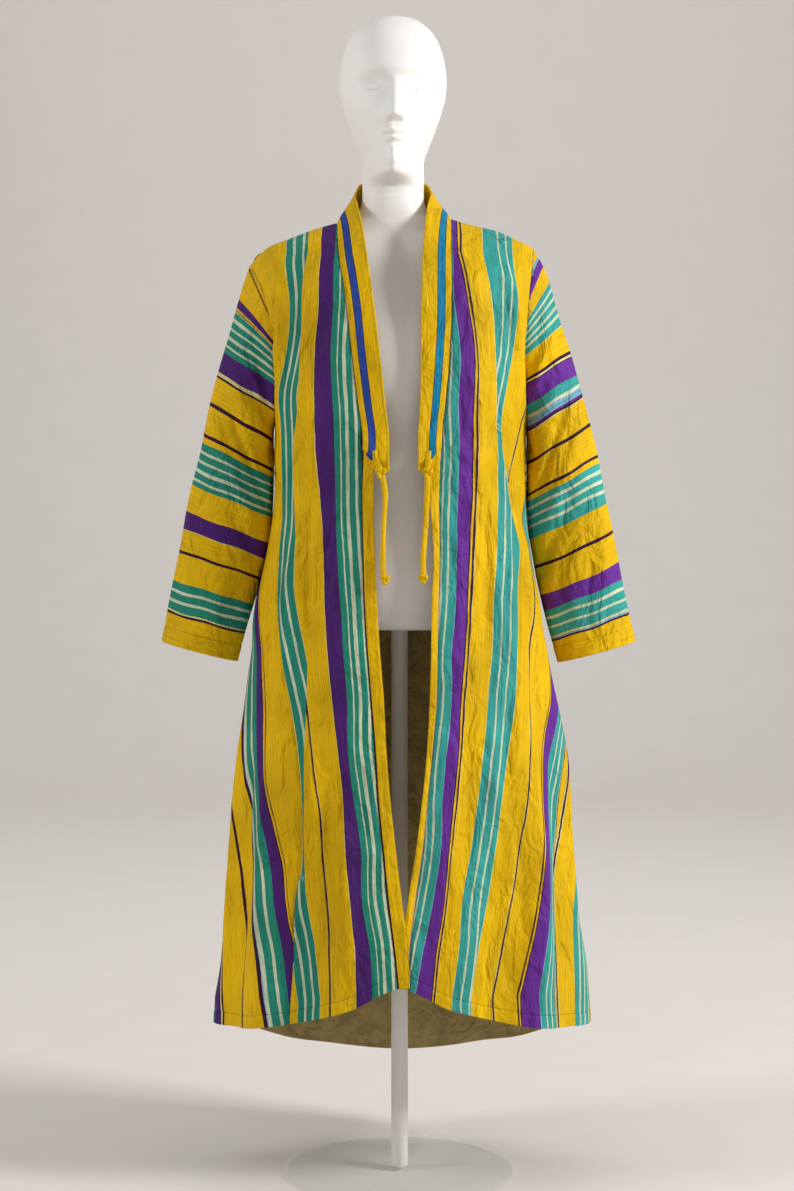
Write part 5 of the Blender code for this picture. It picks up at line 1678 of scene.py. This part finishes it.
def hem_stitches(tree, hem, thread_and_groove_shade):
    """Darkening along a line of stitches at the distance hem from the nearest hem: the stitches'
    thread with painted shade where it sinks in, and a fainter painted shade along the groove
    between them.
    """
    # They are 3.3 mm long with 1.7 mm between them, drawn twice as long so that they show.
    trim = add(tree, "UVMap", uv_map="trim")
    edge = add(tree, "SeparateXYZ", {0: trim})
    off = maths(tree, "SUBTRACT", edge, hem)
    off = maths(tree, "ABSOLUTE", off)
    near = remap(tree, off, 0.0004, 0.0009, 1.0, 0.0)
    dash = maths(tree, "PINGPONG", edge.outputs[1], 0.005)
    dash = remap(tree, dash, 0.003, 0.0036, 1.0, 0.25)
    stitch = maths(tree, "MULTIPLY", near, dash)
    return remap(tree, stitch, 0.0, 1.0, 1.0, 1 - thread_and_groove_shade)


def cloth_material(name, charts, hem=HEM_STITCHES, thread_and_groove_shade=0.35, waver=0.0008, lighter_teal_purple=False):
    """Satin-faced cotton and silk, warp dyed in stripes and beaten on the loom.

    The eye gets hard stripes that waver slightly along the warp, fine streaks along the warp that
    are partly uneven threads and partly painted sheen, a soft gloss, weak ribs across and a stitched
    hem whose stitches are drawn darker, with painted shade in their groove. The flag for the
    wearer's left gives that cloth lighter teal and purple.
    """
    made, tree, shader = blank(name)
    cloth = add(tree, "UVMap", uv_map="cloth")
    part = add(tree, "SeparateXYZ", {0: cloth})
    across, along = part.outputs[0], part.outputs[1]
    # The warp's wander: slow along the thread, some 45 mm from crest to crest.
    stretch = add(tree, "Mapping", {0: cloth, 3: (140, 22, 1)})
    wander = noise(tree, stretch, 1.0, 2.0)
    shift = remap(tree, wander, 0.25, 0.75, -waver, waver)
    place = maths(tree, "ADD", across, shift)
    dyes = palette()
    # The cloth on the wearer's left takes lighter teal and purple.
    if lighter_teal_purple:
        dyes.update(teal=dyes["aqua"], purple=dyes["violet"])
    colour = chart_colour(tree, place.outputs[0], charts, dyes)
    # Warp streaks, partly uneven threads and partly painted sheen: single threads are 0.1 mm wide,
    # drawn here 0.8 mm wide so that they show.
    thin = add(tree, "Mapping", {0: cloth, 3: (1250, 14, 1)})
    streak = noise(tree, thin, 1.0, 2.5)
    streaked = remap(tree, streak, 0.25, 0.75, 0.68, 1.24)
    spot = add(tree, "TexCoord").outputs["Object"]
    cloudy = noise(tree, spot, 8.0, 3.0)
    clouded = remap(tree, cloudy, 0.3, 0.7, 0.82, 1.12)
    both = maths(tree, "MULTIPLY", streaked, clouded)
    both = maths(tree, "MULTIPLY", both, hem_stitches(tree, hem, thread_and_groove_shade))
    tinted = add(tree, "VectorMath", {0: colour, 3: both}, operation="SCALE")
    # Weft ribs: picks are 0.5 mm apart, drawn 2 mm apart so that they show as a faint rib.
    ribs = maths(tree, "MULTIPLY", along, 3141.6)
    ribs = maths(tree, "SINE", ribs)
    fine = maths(tree, "MULTIPLY", ribs, 0.12)
    grain = maths(tree, "ADD", streak, fine)
    bump = add(tree, "Bump", {"Strength": 0.35, "Distance": 0.0003, "Height": grain})
    soft = add(tree, "Mapping", {0: spot, 3: (30, 30, 15)})
    rumple = noise(tree, soft, 1.0, 3.5, 0.7)
    depth = bpy.context.scene.chapan_cloth.wrinkles
    bump = add(tree, "Bump", {"Strength": 1.0, "Distance": depth, "Height": rumple, "Normal": bump})
    gloss = remap(tree, streak, 0.2, 0.8, 0.58, 0.72)
    feed(tree, shader, {"Base Color": tinted, "Roughness": gloss, "Normal": bump,
                        "Specular IOR Level": 0.14})
    return made


def lining_material(name, code):
    """Thin plain cotton, dyed in the piece and washed.

    The eye gets a dull, slightly mottled olive cloth with small creases and an almost invisible
    weave: threads lie 0.4 mm apart and are drawn 3 mm apart.
    """
    made, tree, shader = blank(name)
    spot = add(tree, "TexCoord").outputs["Object"]
    blotch = noise(tree, spot, 38.0, 5.0)
    fade = remap(tree, blotch, 0.3, 0.7, 0.8, 1.18)
    tinted = add(tree, "VectorMath", {0: code[:3], 3: fade}, operation="SCALE")
    weave = add(tree, "TexWave", {"Vector": spot, "Scale": 105.0, "Distortion": 2.0},
                bands_direction="Z")
    bump = add(tree, "Bump", {"Strength": 0.3, "Distance": 0.0002, "Height": weave.outputs[1]})
    soft = add(tree, "Mapping", {0: spot, 3: (26, 26, 17)})
    rumple = noise(tree, soft, 1.0, 4.0, 1.2)
    bump = add(tree, "Bump", {"Strength": 1.0, "Distance": 0.016, "Height": rumple, "Normal": bump})
    feed(tree, shader, {"Base Color": tinted, "Normal": bump, "Roughness": 0.85,
                        "Specular IOR Level": 0.25})
    return made


def plain_material(name, colour, grain, mottle, bump, rough, specular=0.5):
    """A plain matt or satin surface: an even colour, barely mottled, with a fine grain."""
    made, tree, shader = blank(name)
    spot = add(tree, "TexCoord").outputs["Object"]
    fine = noise(tree, spot, grain, 2.0)
    cloud = noise(tree, spot, 9.0, 2.0)
    fade = remap(tree, cloud, 0.3, 0.7, 1 - mottle, 1 + mottle)
    tinted = add(tree, "VectorMath", {0: tuple(colour), 3: fade}, operation="SCALE")
    relief = add(tree, "Bump", {"Strength": 0.2, "Distance": bump, "Height": fine})
    gloss = remap(tree, cloud, 0.3, 0.7, rough, rough + 0.08)
    feed(tree, shader, {"Base Color": tinted, "Normal": relief, "Roughness": gloss,
                        "Specular IOR Level": specular})
    return made


def glass_material(name):
    """Clear float glass with a polished rim.

    The eye gets a clear plate with a faint green in its thickness and a bright rim. It is drawn as
    a mostly see-through surface, with slight smears from wiping.
    """
    made, tree, shader = blank(name)
    spot = add(tree, "TexCoord").outputs["Object"]
    smear = noise(tree, spot, 14.0, 4.0)
    rough = remap(tree, smear, 0.3, 0.7, 0.03, 0.09)
    feed(tree, shader, {"Roughness": rough, "Base Color": linear("#EAF1EE"), "Alpha": 0.18, "IOR": 1.52})
    return made


def material(name):
    """One of the object's materials, made the first time that it is asked for."""
    known = bpy.data.materials.get(name)
    if known:
        return known
    scene = bpy.context.scene
    cloth, stand, stage = scene.chapan_cloth, scene.chapan_stand, scene.chapan_stage
    makers = {
        "front_right_satin": lambda: cloth_material(name, CHART_RIGHT),
        "front_left_satin": lambda: cloth_material(name, CHART_LEFT, lighter_teal_purple=True),
        "gore_right_satin": lambda: cloth_material(name, CHART_GORE_RIGHT),
        "gore_left_satin": lambda: cloth_material(name, CHART_GORE_LEFT, lighter_teal_purple=True),
        "back_satin": lambda: cloth_material(name, CHART_BACK),
        "sleeve_right_satin": lambda: cloth_material(name, CHART_SLEEVE_RIGHT, CUFF_STITCHES),
        "sleeve_left_satin": lambda: cloth_material(name, CHART_SLEEVE_LEFT, CUFF_STITCHES, lighter_teal_purple=True),
        "neckband_satin": lambda: cloth_material(name, CHART_BAND, BAND_STITCHES, 0.25, 0.0004),
        "strip_right_satin": lambda: cloth_material(name, CHART_STRIP_RIGHT, STRIP_STITCHES, 0.3, 0.0003),
        "strip_left_satin": lambda: cloth_material(name, CHART_STRIP_LEFT, STRIP_STITCHES, 0.3, 0.0003),
        "tie_satin": lambda: cloth_material(name, CHART_PLAIN, 9.0, 0.0),
        "olive_cotton": lambda: lining_material(name, tuple(cloth.lining) + (1.0,)),
        # Glass-fibre shell, sprayed with matt white lacquer: a barely visible orange-peel, 3 mm across.
        "lacquered_shell": lambda: plain_material(name, stand.form_colour, 330, 0.02, 0.0002, 0.5, 0.4),
        # Steel tube, powder-coated satin white: a grain 1 mm across.
        "powder_coated_steel": lambda: plain_material(name, stand.pole_colour, 900, 0.01, 0.0001, 0.36),
        # Seamless backdrop paper: matt, with fibres 2 mm long that barely show.
        "backdrop_paper": lambda: plain_material(name, stage.backdrop, 420, 0.01, 0.0001, 0.85, 0.2),
        "float_glass": lambda: glass_material(name),
    }
    return makers[name]()


# ---------------- settings

DYES = ("yellow", "teal", "purple", "cream", "pale", "dark", "sky", "blue", "azure", "rose",
        "aqua", "violet")


def dye(name, code, description):
    """A colour property whose default is an sRGB hex code."""
    return bpy.props.FloatVectorProperty(
        name=name, description=description, subtype="COLOR", size=3, min=0, max=1,
        default=linear(code)[:3],
    )


def power(name, watts, description):
    """A light's power, with its default."""
    return bpy.props.FloatProperty(
        name=name, description=description, default=watts, min=0, max=2000, unit="POWER",
    )


class ClothSettings(bpy.types.PropertyGroup):
    """Colours and creases of the coat's cloth."""

    yellow: dye("Yellow", "#E0B300", "The ground of the cloth")
    teal: dye("Teal", "#238470", "The broad cool stripes")
    purple: dye("Purple", "#491F6B", "The purple stripes")
    cream: dye("Cream", "#C4CCAE", "The narrow lines in the teal groups")
    pale: dye("Pale", "#D2C888", "The thin lines where two colours meet")
    dark: dye("Dark", "#34102F", "The thin dark lines")
    sky: dye("Sky", "#7FA8C0", "The pale blue line beside purple")
    blue: dye("Blue", "#2A479C", "The neckband's stripe on the wearer's right")
    azure: dye("Azure", "#1583AE", "The neckband's stripe on the wearer's left")
    rose: dye("Rose", "#C98F72", "The thin line along the left edge strip")
    aqua: dye("Aqua", "#379C94", "The broad cool stripes on the wearer's left")
    violet: dye("Violet", "#652C90", "The purple stripes on the wearer's left")
    lining: dye("Lining", "#AA9662", "The plain cotton inside")
    wrinkles: bpy.props.FloatProperty(
        name="Wrinkles", description="How deep the small wrinkles are", default=0.016,
        min=0, max=0.02, unit="LENGTH",
    )


class StandSettings(bpy.types.PropertyGroup):
    """Colours of the dress form and its stand."""

    form_colour: dye("Form", "#F2EFEC", "The lacquer of the dress form")
    pole_colour: dye("Pole", "#EFEDE9", "The powder coat of the pole")


class StageSettings(bpy.types.PropertyGroup):
    """Backdrop, lights and camera."""

    backdrop: dye("Backdrop", "#DFDAD5", "The colour of floor and backdrop")
    key: power("Key light", 137.0, "Power of the large soft light")
    fill: power("Fill light", 52.0, "Power of the light on the other side")
    wall: power("Wall light", 92.0, "Power of the light on the backdrop's wall")
    sky: bpy.props.FloatProperty(
        name="Surroundings", description="Brightness of the even light all round", default=0.36,
        min=0, max=10,
    )
    distance: bpy.props.FloatProperty(
        name="Camera distance", description="How far in front of the pole the camera stands",
        default=3.4, min=0.5, max=20, unit="LENGTH",
    )


# ---------------- operators


class CHAPAN_OT_camera(bpy.types.Operator):
    """Make the camera that sees the coat from the front"""

    bl_idname = "chapan.camera"
    bl_label = "Camera"

    def execute(self, context):
        seen = bpy.data.cameras.new("front_camera")
        seen.sensor_width = CAMERA_SENSOR
        seen.lens = CAMERA_LENS
        camera = linked("front_camera", seen)
        across, height = CAMERA_PLACE
        camera.location = (across, -context.scene.chapan_stage.distance, height)
        camera.rotation_euler = (np.radians(CAMERA_TILT), 0, 0)
        context.scene.camera = camera
        return {"FINISHED"}


class CHAPAN_OT_ties(bpy.types.Operator):
    """Make the two ties that hang from the neckband's ends"""

    bl_idname = "chapan.ties"
    bl_label = "Ties"

    def execute(self, context):
        for side in (-1, 1):
            tie(side, material("tie_satin"))
        return {"FINISHED"}


class CHAPAN_OT_fronts(bpy.types.Operator):
    """Make the two fronts"""

    bl_idname = "chapan.fronts"
    bl_label = "Fronts"

    def execute(self, context):
        for side in (-1, 1):
            front_panel(side, material(f"front_{word(side)}_satin"), material("olive_cotton"))
        return {"FINISHED"}


class CHAPAN_OT_backs(bpy.types.Operator):
    """Make the back's two lengths of cloth and their lining"""

    bl_idname = "chapan.backs"
    bl_label = "Back and lining"

    def execute(self, context):
        for side in (-1, 1):
            back_panel(side, material("back_satin"), material("olive_cotton"))
        back_lining(material("olive_cotton"))
        return {"FINISHED"}


class CHAPAN_OT_gores(bpy.types.Operator):
    """Make the two side gores"""

    bl_idname = "chapan.gores"
    bl_label = "Gores"

    def execute(self, context):
        for side in (-1, 1):
            gore(side, material(f"gore_{word(side)}_satin"), material("olive_cotton"))
        return {"FINISHED"}


class CHAPAN_OT_sleeves(bpy.types.Operator):
    """Make the two sleeves"""

    bl_idname = "chapan.sleeves"
    bl_label = "Sleeves"

    def execute(self, context):
        for side in (-1, 1):
            sleeve(side, material(f"sleeve_{word(side)}_satin"), material("olive_cotton"))
        return {"FINISHED"}


class CHAPAN_OT_edges(bpy.types.Operator):
    """Make the strips along the front edges and the neckband"""

    bl_idname = "chapan.edges"
    bl_label = "Edge strips and neckband"

    def execute(self, context):
        for side in (-1, 1):
            edge_strip(side, material(f"strip_{word(side)}_satin"))
        neckband(material("neckband_satin"))
        return {"FINISHED"}


class CHAPAN_OT_form(bpy.types.Operator):
    """Make the dress form, its pole and its glass foot"""

    bl_idname = "chapan.form"
    bl_label = "Dress form"

    def execute(self, context):
        form(material("lacquered_shell"))
        pole(material("powder_coated_steel"))
        foot(material("float_glass"))
        return {"FINISHED"}


class CHAPAN_OT_stage(bpy.types.Operator):
    """Make the floor with its backdrop, and the lights"""

    bl_idname = "chapan.stage"
    bl_label = "Stage"

    def execute(self, context):
        settings = context.scene.chapan_stage
        sweep = backdrop()
        sweep.data.materials.append(material("backdrop_paper"))
        for name, place, aim, wide, power in (
            ("key_light", (3.3, -1.4, 2.6), (0, 0, 1.0), 0.9, settings.key),
            ("fill_light", (-3.3, -1.2, 2.6), (0, 0, 1.0), 0.9, settings.fill),
            ("wall_light", (0.0, 1.6, 4.6), (0, 6.4, 1.6), 3.0, settings.wall),
        ):
            lamp = bpy.data.lights.new(name, "AREA")
            lamp.shape = "SQUARE"
            lamp.size = wide
            lamp.energy = power
            made = linked(name, lamp)
            made.location = place
            way = Vector(aim) - Vector(place)
            made.rotation_euler = way.to_track_quat("-Z", "Y").to_euler()
        world = bpy.data.worlds.new("soft_surroundings")
        world.use_nodes = True
        light = world.node_tree.nodes["Background"]
        light.inputs["Color"].default_value = linear("#FCFAF8")
        light.inputs["Strength"].default_value = settings.sky
        context.scene.world = world
        context.scene.view_settings.view_transform = "Standard"
        return {"FINISHED"}


def backdrop(half=7.0, front=-6.5, wall=6.6, radius=2.4, top=8.0):
    """Floor and wall in one sheet: a profile of floor, quarter circle and wall carried across."""
    swing = np.linspace(0, np.pi / 2, 33)
    y = np.concatenate([[front, 0.0], wall - radius + radius * np.sin(swing), [wall]])
    z = np.concatenate([[0.0, 0.0], radius - radius * np.cos(swing), [top]])
    x = np.array([-half, 0.0, half])
    points = np.stack(np.broadcast_arrays(x[None], y[:, None], z[:, None]), axis=-1)
    index = np.arange(points.shape[0] * 3).reshape(-1, 3)
    quads = np.stack([index[:-1, :-1], index[:-1, 1:], index[1:, 1:], index[1:, :-1]], axis=-1)
    return mesh_object("backdrop", points.reshape(-1, 3), quads.reshape(-1, 4))


STEPS = (
    CHAPAN_OT_camera, CHAPAN_OT_ties, CHAPAN_OT_fronts, CHAPAN_OT_backs, CHAPAN_OT_gores,
    CHAPAN_OT_sleeves, CHAPAN_OT_edges, CHAPAN_OT_form, CHAPAN_OT_stage,
)
GROUPS = {"chapan_cloth": ClothSettings, "chapan_stand": StandSettings, "chapan_stage": StageSettings}


class CHAPAN_PT_panel(bpy.types.Panel):
    """The steps that make the coat, in order, and what can be set for them"""

    bl_idname = "CHAPAN_PT_panel"
    bl_label = "Chapan robe"
    bl_space_type = "VIEW_3D"
    bl_region_type = "UI"
    bl_category = "Chapan"

    def draw(self, context):
        for name, group in GROUPS.items():
            box = self.layout.box()
            for setting in group.__annotations__:
                box.prop(getattr(context.scene, name), setting)
        for step in STEPS:
            self.layout.operator(step.bl_idname)


def register():
    """Makes the settings, the steps and the panel known to Blender."""
    for name, group in GROUPS.items():
        bpy.utils.register_class(group)
        setattr(bpy.types.Scene, name, bpy.props.PointerProperty(type=group))
    for kind in (*STEPS, CHAPAN_PT_panel):
        bpy.utils.register_class(kind)


def unregister():
    """Takes them away again."""
    for kind in (CHAPAN_PT_panel, *reversed(STEPS)):
        bpy.utils.unregister_class(kind)
    for name, group in GROUPS.items():
        delattr(bpy.types.Scene, name)
        bpy.utils.unregister_class(group)


def main():
    """Makes the whole object in order."""
    register()
    for step in STEPS:
        group, name = step.bl_idname.split(".")
        getattr(getattr(bpy.ops, group), name)()


if __name__ == "__main__":
    main()
